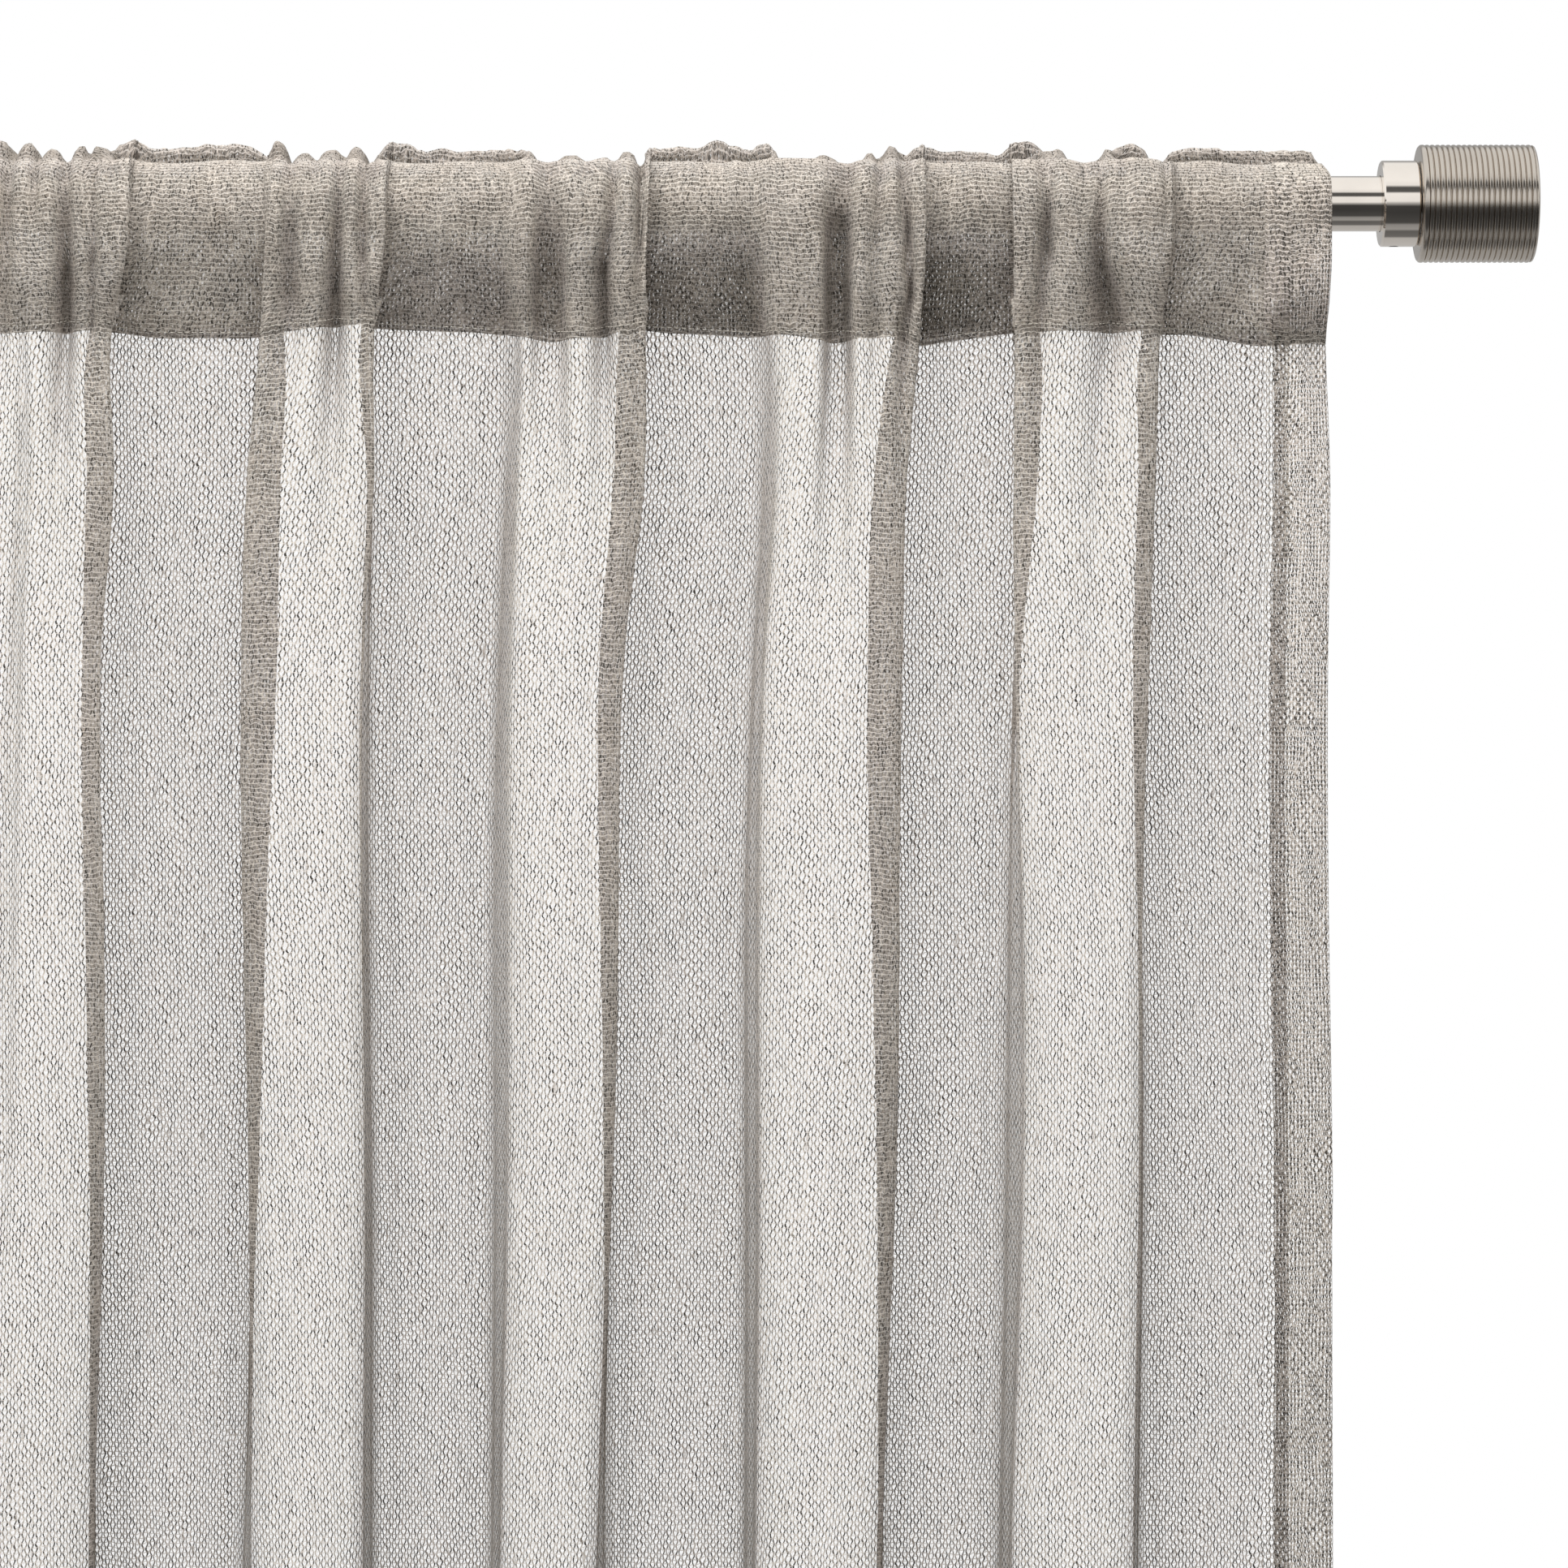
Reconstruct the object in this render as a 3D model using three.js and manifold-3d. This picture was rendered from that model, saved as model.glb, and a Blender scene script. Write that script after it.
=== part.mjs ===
// A pair of open-weave curtain panels on a telescoping nickel rod with ribbed drum finials.
// Units are millimetres. X runs along the rod, Y points at the wall, Z is up. The origin is on
// the wall plane, at the middle of the span and at the height of the rod's axis.

import * as THREE from 'three';
import { mergeVertices } from 'three/addons/utils/BufferGeometryUtils.js';
import Module from 'manifold-3d';

const wasm = await Module();
wasm.setup();

// ---------------------------------------------------------------- driving dimensions

const FIT = 0.3;                  // gap left between pieces that touch

const PROJECTION = 90;            // wall plane to rod axis
const PANEL_WIDTH = 715;          // one panel as gathered on the rod
const PANEL_DROP = 2134;          // top of the heading to the bottom edge
const CENTRE_GAP = 16;            // between the two leading edges
const BARE_ROD = 22.5;            // rod showing between the panel and the collar

const OUTER_TUBE_RADIUS = 12.7;
const INNER_TUBE_RADIUS = 10.5;
const TUBE_WALL = 1;
const OUTER_TUBE_INBOARD_END = 150;   // past the middle of the span, on the left
const INNER_TUBE_INBOARD_END = 250;   // past the middle of the span, on the right
const LINER_LENGTH = 40;
const LINER_LIP = 3;

const COLLAR_RADIUS = 19.8;
const COLLAR_LENGTH = 17;
const COLLAR_SOCKET = 12.5;       // depth of the bore that takes the rod
const CAP_RADIUS = 27;
const CAP_LENGTH = 53;
const RIB_COUNT = 20;
const RIB_DEPTH = 0.9;
const STUD_RADIUS = 4;
const STUD_LENGTH = 26;
const SET_SCREW_RADIUS = 2;
const SET_SCREW_SUNK = 0.5;       // below the collar's face
const HEX_SOCKET_RADIUS = 1.1;
const HEX_SOCKET_DEPTH = 2;

const PLATE_WIDTH = 24;
const PLATE_HEIGHT = 70;
const PLATE_THICKNESS = 4;
const PLATE_HOLE_HEIGHT = 24;     // above and below the middle of the plate
const WALL_SCREW_RADIUS = 2.2;
const WALL_SCREW_HEAD_RADIUS = 4.2;
const WALL_SCREW_HEAD_RIM = 1.2;
const WALL_SCREW_HEAD_HEIGHT = 2.6;
const BOSS_RADIUS = 9;
const BOSS_LENGTH = 12;
const BOSS_OVERLAP = 1;           // how far the boss runs into the plate
const ARM_RADIUS = 5;
const GRUB_SCREW_RADIUS = 1.8;
const CUP_RADIUS = 16.5;
const CUP_WIDTH = 12;
const CUP_HORN = 8;               // height of the cup's two horns above the rod axis
const CLAMP_SCREW_RADIUS = 2.5;
const CLAMP_HEAD_RADIUS = 5.5;
const CLAMP_HEAD_HEIGHT = 8;
const CLAMP_HEAD_GAP = 1.8;       // between the cup and the screw's head
const BRACKET_INSET = 14;         // panel's outer edge to the middle of the bracket

const FOLDS = 5;                  // folds that stand forward on each panel
const FOLD_DEPTH = 28;
const CLOTH = 1.2;
const HEM_WIDTH = 32;
const HEM_THICKNESS = 1.8;
const BOTTOM_HEM_HEIGHT = 90;
const BOTTOM_HEM_THICKNESS = 2.4;
const HEADING_TOP = 26.5;         // above the rod axis
const POCKET_TOP = 20;
const POCKET_BOTTOM = -62;
const POCKET_FRONT = -20;         // front wall of the pocket, from the rod axis
const POCKET_GATHER = 14;         // how far the pocket's folds stand forward of that
const POCKET_BACK = 16;
const POCKET_TUCK = 26;           // the back wall stops this far short, clear of the bracket
const DROP_BACK = -4;             // the hanging cloth's rear level, from the rod axis
const LIP_REAR = 5;                // the heading's rolled edge stands behind the crown
const LIP_WAVE = 6;
const LIP_THICKNESS = 3.2;
const THREAD = 0.6;
const POCKET_SEAM_RISE = 5;       // stitching above the bottom of the pocket
const HEM_SEAM_INSET = 3;         // stitching inside the edge of each hem

// ---------------------------------------------------------------- worked-out places

const ROD_Y = -PROJECTION;
const PANEL_INNER_X = CENTRE_GAP / 2;
const PANEL_OUTER_X = PANEL_INNER_X + PANEL_WIDTH;
const COLLAR_X = PANEL_OUTER_X + BARE_ROD;
const ROD_END_X = COLLAR_X + COLLAR_SOCKET - 0.5;
const CAP_X = COLLAR_X + COLLAR_LENGTH + FIT;
const BRACKET_X = PANEL_OUTER_X - BRACKET_INSET;
const FOLD_PITCH = PANEL_WIDTH / (FOLDS + 1);
const PANEL_BOTTOM = HEADING_TOP - PANEL_DROP;
const CUP_BACK_Y = ROD_Y + CUP_RADIUS + FIT;

const SIDES = [['right', 1], ['left', -1]];

// ---------------------------------------------------------------- finishes

const finish = (color, roughness, metalness) =>
  () => new THREE.MeshStandardMaterial({ color, roughness, metalness });

const polishedNickel = finish(0xc4bfb4, 0.16, 1);
const satinNickel = finish(0xb9b2a6, 0.36, 1);
const screwSteel = finish(0x9a9a98, 0.35, 1);
const liningPlastic = finish(0xd8d5cd, 0.5, 0);
const openWeave = finish(0xb5aea3, 0.95, 0);
const hemCloth = finish(0xa59e92, 0.95, 0);
const sewingThread = finish(0xcfc8bb, 0.8, 0);

// ---------------------------------------------------------------- geometry helpers

// Merge shared corners, drop collapsed triangles and turn the faces outwards.
function closed(geometry) {
  geometry.deleteAttribute('normal');
  geometry.deleteAttribute('uv');
  const merged = mergeVertices(geometry, 1e-4);
  const position = merged.attributes.position;
  const corners = [];
  let volume = 0;
  const a = new THREE.Vector3();
  const b = new THREE.Vector3();
  const c = new THREE.Vector3();
  for (let i = 0; i < merged.index.count; i += 3) {
    const [p, q, r] = [0, 1, 2].map((k) => merged.index.getX(i + k));
    if (p === q || q === r || r === p) continue;
    corners.push(p, q, r);
    a.fromBufferAttribute(position, p);
    b.fromBufferAttribute(position, q);
    c.fromBufferAttribute(position, r);
    volume += a.dot(b.cross(c));
  }
  if (volume < 0) {
    for (let i = 0; i < corners.length; i += 3) {
      [corners[i + 1], corners[i + 2]] = [corners[i + 2], corners[i + 1]];
    }
  }
  merged.setIndex(corners);
  return merged;
}

function toManifold(geometry) {
  const shell = closed(geometry);
  return new wasm.Manifold(new wasm.Mesh({
    numProp: 3,
    vertProperties: new Float32Array(shell.attributes.position.array),
    triVerts: new Uint32Array(shell.index.array),
  }));
}

function fromManifold(solid) {
  const mesh = solid.getMesh();
  const geometry = new THREE.BufferGeometry();
  geometry.setAttribute('position', new THREE.BufferAttribute(mesh.vertProperties, 3));
  geometry.setIndex(new THREE.BufferAttribute(mesh.triVerts, 1));
  return geometry;
}

const join = (first, ...others) =>
  fromManifold(others.reduce((sum, g) => sum.add(toManifold(g)), toManifold(first)));

const cut = (first, ...tools) =>
  fromManifold(tools.reduce((rest, g) => rest.subtract(toManifold(g)), toManifold(first)));

// A turned piece whose profile of [radius, distance] pairs runs along +X.
function turned(profile, segments = 32) {
  const points = profile.map(([radius, along]) => new THREE.Vector2(radius, along));
  return closed(new THREE.LatheGeometry(points, segments).rotateZ(-Math.PI / 2));
}

const ring = (inner, outer, from, to, segments) =>
  turned([[inner, from], [outer, from], [outer, to], [inner, to], [inner, from]], segments);

const disc = (radius, from, to, segments) =>
  turned([[0, from], [radius, from], [radius, to], [0, to]], segments);

const aimY = (geometry) => geometry.rotateZ(Math.PI / 2);
const aimDown = (geometry) => geometry.rotateY(Math.PI / 2);

// An outline in the XY plane, raised along Z from one height to another.
function raised(points, from, to) {
  const shape = new THREE.Shape(points.map(([x, y]) => new THREE.Vector2(x, y)));
  const block = new THREE.ExtrudeGeometry(shape, { depth: to - from, bevelEnabled: false });
  return block.translate(0, 0, from);
}

function block(x0, x1, y0, y1, z0, z1) {
  const box = new THREE.BoxGeometry(x1 - x0, y1 - y0, z1 - z0);
  return box.translate((x0 + x1) / 2, (y0 + y1) / 2, (z0 + z1) / 2);
}

// The outline of a strip of cloth seen from above, following a line of [x, y] points.
function ribbon(line, thickness) {
  const half = thickness / 2;
  const edge = (side) => line.map(([x, y], i) => {
    const [x0, y0] = line[Math.max(i - 1, 0)];
    const [x1, y1] = line[Math.min(i + 1, line.length - 1)];
    const length = Math.hypot(x1 - x0, y1 - y0);
    return [x - side * half * (y1 - y0) / length, y + side * half * (x1 - x0) / length];
  });
  return [...edge(-1), ...edge(1).reverse()];
}

// ---------------------------------------------------------------- the scene

const group = new THREE.Group();
group.name = 'curtains_on_rod';

function place(name, geometry, material, [x, y, z] = [0, 0, 0]) {
  const shell = closed(geometry);
  shell.computeVertexNormals();
  const mesh = new THREE.Mesh(shell, material());
  mesh.name = name;
  mesh.position.set(x, y, z);
  group.add(mesh);
}

// A piece drawn for the right-hand side, mirrored in X for the left.
const handed = (geometry, sign) => (sign > 0 ? geometry : geometry.scale(-1, 1, 1));

// ---------------------------------------------------------------- rod

function buildRod() {
  const onAxis = [0, ROD_Y, 0];
  const outerBore = OUTER_TUBE_RADIUS - TUBE_WALL;
  place('rod_outer_tube',
    ring(outerBore, OUTER_TUBE_RADIUS, -OUTER_TUBE_INBOARD_END, ROD_END_X), polishedNickel, onAxis);
  place('rod_inner_tube',
    ring(INNER_TUBE_RADIUS - TUBE_WALL, INNER_TUBE_RADIUS, -ROD_END_X, INNER_TUBE_INBOARD_END),
    polishedNickel, onAxis);

  const mouth = -OUTER_TUBE_INBOARD_END - FIT;
  const liner = turned([
    [INNER_TUBE_RADIUS + FIT, mouth - LINER_LIP],
    [OUTER_TUBE_RADIUS, mouth - LINER_LIP],
    [OUTER_TUBE_RADIUS, mouth],
    [outerBore - FIT, mouth],
    [outerBore - FIT, mouth + LINER_LENGTH],
    [INNER_TUBE_RADIUS + FIT, mouth + LINER_LENGTH],
    [INNER_TUBE_RADIUS + FIT, mouth - LINER_LIP],
  ]);
  place('rod_liner_sleeve', liner, liningPlastic, onAxis);
  place('left_adapter_sleeve',
    ring(INNER_TUBE_RADIUS + FIT, OUTER_TUBE_RADIUS, -ROD_END_X, -COLLAR_X), liningPlastic, onAxis);
}

// ---------------------------------------------------------------- finials

function collarGeometry() {
  const chamfer = 0.8;
  const bore = OUTER_TUBE_RADIUS + FIT;
  const shell = turned([
    [bore, 0],
    [COLLAR_RADIUS - chamfer, 0],
    [COLLAR_RADIUS, chamfer],
    [COLLAR_RADIUS, COLLAR_LENGTH - chamfer],
    [COLLAR_RADIUS - chamfer, COLLAR_LENGTH],
    [STUD_RADIUS + FIT, COLLAR_LENGTH],
    [STUD_RADIUS + FIT, COLLAR_SOCKET],
    [bore, COLLAR_SOCKET],
    [bore, 0],
  ]);
  const screwHole = aimDown(disc(SET_SCREW_RADIUS + FIT, bore - 4, COLLAR_RADIUS + 2, 16));
  return cut(shell, screwHole.translate(COLLAR_SOCKET / 2, 0, 0));
}

// A drum with ribs turned round it: each rib is a crest between two grooves.
function capGeometry() {
  const edge = 1.6;
  const boreDepth = STUD_LENGTH - (COLLAR_LENGTH - COLLAR_SOCKET) + 1;
  const ribPitch = (CAP_LENGTH - 2 * edge) / RIB_COUNT;
  const profile = [[STUD_RADIUS + FIT, boreDepth], [STUD_RADIUS + FIT, 0]];
  profile.push([CAP_RADIUS - edge, 0], [CAP_RADIUS - RIB_DEPTH, edge]);
  for (let rib = 0; rib < RIB_COUNT; rib += 1) {
    profile.push([CAP_RADIUS, edge + (rib + 0.5) * ribPitch]);
    profile.push([CAP_RADIUS - RIB_DEPTH, edge + (rib + 1) * ribPitch]);
  }
  profile.push([CAP_RADIUS - edge, CAP_LENGTH], [0, CAP_LENGTH], [0, boreDepth]);
  profile.push([STUD_RADIUS + FIT, boreDepth]);
  return turned(profile, 20);
}

function setScrewGeometry() {
  const top = COLLAR_RADIUS - SET_SCREW_SUNK;
  const screw = disc(SET_SCREW_RADIUS, OUTER_TUBE_RADIUS + FIT, top, 16);
  const socket = disc(HEX_SOCKET_RADIUS, top - HEX_SOCKET_DEPTH, top + 1, 6);
  return aimDown(cut(screw, socket));
}

function buildFinial(side, sign) {
  const at = (x) => [sign * x, ROD_Y, 0];
  place(`${side}_finial_collar`, handed(collarGeometry(), sign), polishedNickel, at(COLLAR_X));
  place(`${side}_finial_cap`, handed(capGeometry(), sign), satinNickel, at(CAP_X));
  const stud = disc(STUD_RADIUS, COLLAR_SOCKET, COLLAR_SOCKET + STUD_LENGTH, 16);
  place(`${side}_finial_stud`, handed(stud, sign), screwSteel, at(COLLAR_X));
  const screwX = COLLAR_X + COLLAR_SOCKET / 2;
  place(`${side}_collar_set_screw`, setScrewGeometry(), screwSteel, at(screwX));
}

// ---------------------------------------------------------------- wall brackets

function plateGeometry() {
  const radius = PLATE_WIDTH / 2;
  const straight = PLATE_HEIGHT / 2 - radius;
  const outline = new THREE.Shape();
  outline.absarc(0, straight, radius, 0, Math.PI);
  outline.absarc(0, -straight, radius, Math.PI, 2 * Math.PI);
  for (const height of [PLATE_HOLE_HEIGHT, -PLATE_HOLE_HEIGHT]) {
    const hole = new THREE.Path();
    hole.absarc(0, height, WALL_SCREW_RADIUS + FIT, 0, 2 * Math.PI, true);
    outline.holes.push(hole);
  }
  const options = { depth: PLATE_THICKNESS, bevelEnabled: false, curveSegments: 10 };
  const plate = new THREE.ExtrudeGeometry(outline, options).rotateX(Math.PI / 2);
  const boss = aimY(ring(ARM_RADIUS + FIT, BOSS_RADIUS, -BOSS_LENGTH, BOSS_OVERLAP));
  const bored = join(plate, boss.translate(0, -PLATE_THICKNESS, 0));
  const grubHole = aimDown(disc(GRUB_SCREW_RADIUS + FIT, ARM_RADIUS - 1, BOSS_RADIUS + 2, 12));
  return cut(bored, grubHole.translate(0, -PLATE_THICKNESS - BOSS_LENGTH / 2, 0));
}

// A U-shaped cradle, open at the top, seen along the rod and as wide as the bracket.
function cupGeometry(tubeRadius) {
  const inner = tubeRadius + FIT;
  const outline = new THREE.Shape();
  outline.moveTo(CUP_HORN, CUP_RADIUS);
  outline.lineTo(0, CUP_RADIUS);
  outline.absarc(0, 0, CUP_RADIUS, Math.PI / 2, 1.5 * Math.PI);
  outline.lineTo(CUP_HORN, -CUP_RADIUS);
  outline.lineTo(CUP_HORN, -inner);
  outline.lineTo(0, -inner);
  outline.absarc(0, 0, inner, 1.5 * Math.PI, Math.PI / 2, true);
  outline.lineTo(CUP_HORN, inner);
  const options = { depth: CUP_WIDTH, bevelEnabled: false, curveSegments: 14 };
  const cradle = new THREE.ExtrudeGeometry(outline, options);
  cradle.translate(0, 0, -CUP_WIDTH / 2).rotateY(-Math.PI / 2);
  const screwHole = aimDown(disc(CLAMP_SCREW_RADIUS + FIT, tubeRadius - 2, CUP_RADIUS + 2, 16));
  return cut(cradle, screwHole);
}

function clampScrewGeometry(tubeRadius) {
  const head = CUP_RADIUS + CLAMP_HEAD_GAP;
  const profile = [[0, tubeRadius + FIT], [CLAMP_SCREW_RADIUS, tubeRadius + FIT]];
  profile.push([CLAMP_SCREW_RADIUS, head], [CLAMP_HEAD_RADIUS, head]);
  profile.push([CLAMP_HEAD_RADIUS, head + CLAMP_HEAD_HEIGHT], [0, head + CLAMP_HEAD_HEIGHT]);
  return aimDown(turned(profile, 16));
}

function wallScrewGeometry() {
  const seat = PLATE_THICKNESS + FIT;
  const profile = [[0, FIT], [WALL_SCREW_RADIUS, FIT], [WALL_SCREW_RADIUS, seat]];
  const top = seat + WALL_SCREW_HEAD_HEIGHT;
  profile.push([WALL_SCREW_HEAD_RADIUS, seat]);
  profile.push([WALL_SCREW_HEAD_RADIUS, seat + WALL_SCREW_HEAD_RIM]);
  profile.push([WALL_SCREW_RADIUS, top], [0, top]);
  return aimY(turned(profile, 16)).scale(1, -1, 1);
}

function buildBracket(side, sign, tubeRadius) {
  const x = sign * BRACKET_X;
  place(`${side}_bracket_plate`, plateGeometry(), polishedNickel, [x, 0, 0]);
  const armRear = -PLATE_THICKNESS - FIT;
  place(`${side}_bracket_arm`, aimY(disc(ARM_RADIUS, CUP_BACK_Y, armRear, 24)), polishedNickel,
    [x, 0, 0]);
  place(`${side}_bracket_cup`, cupGeometry(tubeRadius), polishedNickel, [x, ROD_Y, 0]);
  place(`${side}_clamp_screw`, clampScrewGeometry(tubeRadius), screwSteel, [x, ROD_Y, 0]);
  const grub = aimDown(disc(GRUB_SCREW_RADIUS, ARM_RADIUS + FIT, BOSS_RADIUS - FIT, 12));
  place(`${side}_arm_grub_screw`, grub, screwSteel,
    [x, -PLATE_THICKNESS - BOSS_LENGTH / 2, 0]);
  for (const [end, direction] of [['upper', 1], ['lower', -1]]) {
    place(`${side}_${end}_wall_screw`, wallScrewGeometry(), screwSteel,
      [x, 0, direction * PLATE_HOLE_HEIGHT]);
  }
}

// ---------------------------------------------------------------- curtain panels

// How far the cloth stands forward at a distance from the panel's outer edge, from 0 to 1.
function foldProfile(distance) {
  const turns = distance / FOLD_PITCH;
  if (turns < 0.5 || turns > FOLDS + 0.5) return 0;
  return 0.5 + 0.5 * Math.cos(2 * Math.PI * turns);
}

// The plan line of a folded cloth between two x positions on the right-hand panel.
function foldLine(fromX, toX, rear, depth) {
  const steps = Math.round((toX - fromX) / (FOLD_PITCH / 8));
  return Array.from({ length: steps + 1 }, (_, i) => {
    const x = fromX + (toX - fromX) * i / steps;
    return [x, ROD_Y + rear - depth * foldProfile(PANEL_OUTER_X - x)];
  });
}

// A sleeve round the rod, with gathered front and plain back, open at both ends.
function pocketGeometry() {
  const front = foldLine(PANEL_INNER_X, PANEL_OUTER_X, POCKET_FRONT, POCKET_GATHER);
  const rear = ROD_Y + POCKET_BACK;
  const lid = [...front, [PANEL_OUTER_X, rear], [PANEL_INNER_X, rear]];
  const backWall = block(PANEL_INNER_X, PANEL_OUTER_X, rear - CLOTH, rear,
    POCKET_BOTTOM, POCKET_TOP);
  const sleeve = join(
    raised(ribbon(front, CLOTH), POCKET_BOTTOM, POCKET_TOP),
    backWall,
    raised(lid, POCKET_TOP - CLOTH, POCKET_TOP),
    raised(lid, POCKET_BOTTOM, POCKET_BOTTOM + CLOTH),
  );
  const tuck = block(PANEL_OUTER_X - POCKET_TUCK, PANEL_OUTER_X + 1, ROD_Y, rear + 1,
    POCKET_BOTTOM - 1, POCKET_TOP + 1);
  return cut(sleeve, tuck);
}

function buildPanel(side, sign) {
  const add = (name, geometry, material) =>
    place(`${side}_${name}`, handed(geometry, sign), material);
  const dropTop = POCKET_BOTTOM - FIT;
  const clothInnerX = PANEL_INNER_X + HEM_WIDTH;
  const clothOuterX = PANEL_OUTER_X - HEM_WIDTH;
  const drop = foldLine(clothInnerX + FIT, clothOuterX - FIT, DROP_BACK, FOLD_DEPTH);
  const hemTop = PANEL_BOTTOM + BOTTOM_HEM_HEIGHT;
  const lip = foldLine(PANEL_INNER_X, PANEL_OUTER_X, LIP_REAR, LIP_WAVE);
  const hemY = ROD_Y + DROP_BACK;
  const sideHem = (x) => block(x, x + HEM_WIDTH, hemY - HEM_THICKNESS / 2,
    hemY + HEM_THICKNESS / 2, PANEL_BOTTOM, dropTop);

  add('rod_pocket', pocketGeometry(), openWeave);
  add('heading_lip', raised(ribbon(lip, LIP_THICKNESS), POCKET_TOP + FIT, HEADING_TOP), hemCloth);
  add('panel_cloth', raised(ribbon(drop, CLOTH), hemTop + FIT, dropTop), openWeave);
  add('bottom_hem', raised(ribbon(drop, BOTTOM_HEM_THICKNESS), PANEL_BOTTOM, hemTop), hemCloth);
  add('leading_hem', sideHem(PANEL_INNER_X), hemCloth);
  add('outer_hem', sideHem(clothOuterX), hemCloth);

  // Stitching lies on the front of the cloth. A fold's slope brings the two closer together.
  const slopeCosine = 0.8;
  const clearOf = (thickness) => (thickness / 2 + THREAD / 2 + FIT) / slopeCosine;
  const pocketSeam = foldLine(PANEL_INNER_X, PANEL_OUTER_X, POCKET_FRONT - clearOf(CLOTH),
    POCKET_GATHER);
  const pocketSeamZ = POCKET_BOTTOM + POCKET_SEAM_RISE;
  const hemSeam = foldLine(clothInnerX + FIT, clothOuterX - FIT,
    DROP_BACK - clearOf(BOTTOM_HEM_THICKNESS), FOLD_DEPTH);
  const hemSeamZ = hemTop - HEM_SEAM_INSET;
  const sideSeamY = hemY - HEM_THICKNESS / 2 - FIT;
  const sideSeam = (x) => block(x, x + THREAD, sideSeamY - THREAD, sideSeamY,
    PANEL_BOTTOM, dropTop);
  add('pocket_stitching', raised(ribbon(pocketSeam, THREAD), pocketSeamZ, pocketSeamZ + THREAD),
    sewingThread);
  add('bottom_hem_stitching', raised(ribbon(hemSeam, THREAD), hemSeamZ, hemSeamZ + THREAD),
    sewingThread);
  add('leading_hem_stitching', sideSeam(clothInnerX - HEM_SEAM_INSET), sewingThread);
  add('outer_hem_stitching', sideSeam(clothOuterX + HEM_SEAM_INSET), sewingThread);
}

// ---------------------------------------------------------------- assembly

buildRod();
for (const [side, sign] of SIDES) {
  buildFinial(side, sign);
  buildBracket(side, sign, sign > 0 ? OUTER_TUBE_RADIUS : INNER_TUBE_RADIUS);
  buildPanel(side, sign);
}

export default group;
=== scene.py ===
"""A pair of open-weave rod-pocket curtains on a telescoping nickel rod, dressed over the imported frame.

The cloth is made in millimetres in a panel's own terms, and placed in metres at the end:
    d  distance from the panel's outer edge, towards the other panel
    f  distance in front of the rod's axis, away from the wall
    z  height above the rod's axis
"""

import math

import bpy
import numpy as np
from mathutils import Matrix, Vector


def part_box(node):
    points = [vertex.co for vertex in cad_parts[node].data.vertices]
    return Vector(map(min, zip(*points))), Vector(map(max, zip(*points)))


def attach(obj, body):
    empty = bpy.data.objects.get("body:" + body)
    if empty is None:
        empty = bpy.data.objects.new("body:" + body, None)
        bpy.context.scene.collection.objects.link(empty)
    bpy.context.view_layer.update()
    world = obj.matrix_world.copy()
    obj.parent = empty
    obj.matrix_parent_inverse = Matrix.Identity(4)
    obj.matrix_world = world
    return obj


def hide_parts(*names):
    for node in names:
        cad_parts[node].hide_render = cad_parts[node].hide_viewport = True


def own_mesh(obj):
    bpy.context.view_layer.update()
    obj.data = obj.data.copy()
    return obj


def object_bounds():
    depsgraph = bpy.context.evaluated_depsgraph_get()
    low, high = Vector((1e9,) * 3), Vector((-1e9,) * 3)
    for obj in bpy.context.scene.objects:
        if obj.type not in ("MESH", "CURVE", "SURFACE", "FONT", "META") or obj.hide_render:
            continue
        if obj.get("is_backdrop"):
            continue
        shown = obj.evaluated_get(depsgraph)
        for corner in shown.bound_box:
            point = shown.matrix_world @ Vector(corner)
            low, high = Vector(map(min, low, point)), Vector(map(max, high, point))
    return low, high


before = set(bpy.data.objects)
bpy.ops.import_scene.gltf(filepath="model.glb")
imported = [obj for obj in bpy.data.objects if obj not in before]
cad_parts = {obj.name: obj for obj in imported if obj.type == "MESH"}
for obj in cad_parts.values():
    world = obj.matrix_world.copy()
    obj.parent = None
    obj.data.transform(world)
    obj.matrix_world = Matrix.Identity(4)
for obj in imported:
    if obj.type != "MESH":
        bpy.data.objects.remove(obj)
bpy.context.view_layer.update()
MM = 0.001

# ---- places from the frame

TUBE_LOW, TUBE_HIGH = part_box("rod_outer_tube")
_, ROD_Y, ROD_Z = (TUBE_LOW + TUBE_HIGH) / 2
POCKET_LOW, POCKET_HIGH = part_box("right_rod_pocket")
PANEL_WIDTH = (POCKET_HIGH.x - POCKET_LOW.x) / MM
PANEL_OUTER = POCKET_HIGH.x
HEM_LOW, HEM_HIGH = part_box("right_bottom_hem")
BOTTOM = (HEM_LOW.z - ROD_Z) / MM
BOTTOM_HEM = (HEM_HIGH.z - HEM_LOW.z) / MM
HEM_WIDTH = (PANEL_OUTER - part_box("right_outer_hem")[0].x) / MM

# ---- small maths


def ease(x):
    """From 0 to 1 as x does, with both ends eased."""
    x = np.clip(x, 0, 1)
    return x * x * (3 - 2 * x)


def mix(a, b, share):
    return a + (b - a) * share


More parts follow.
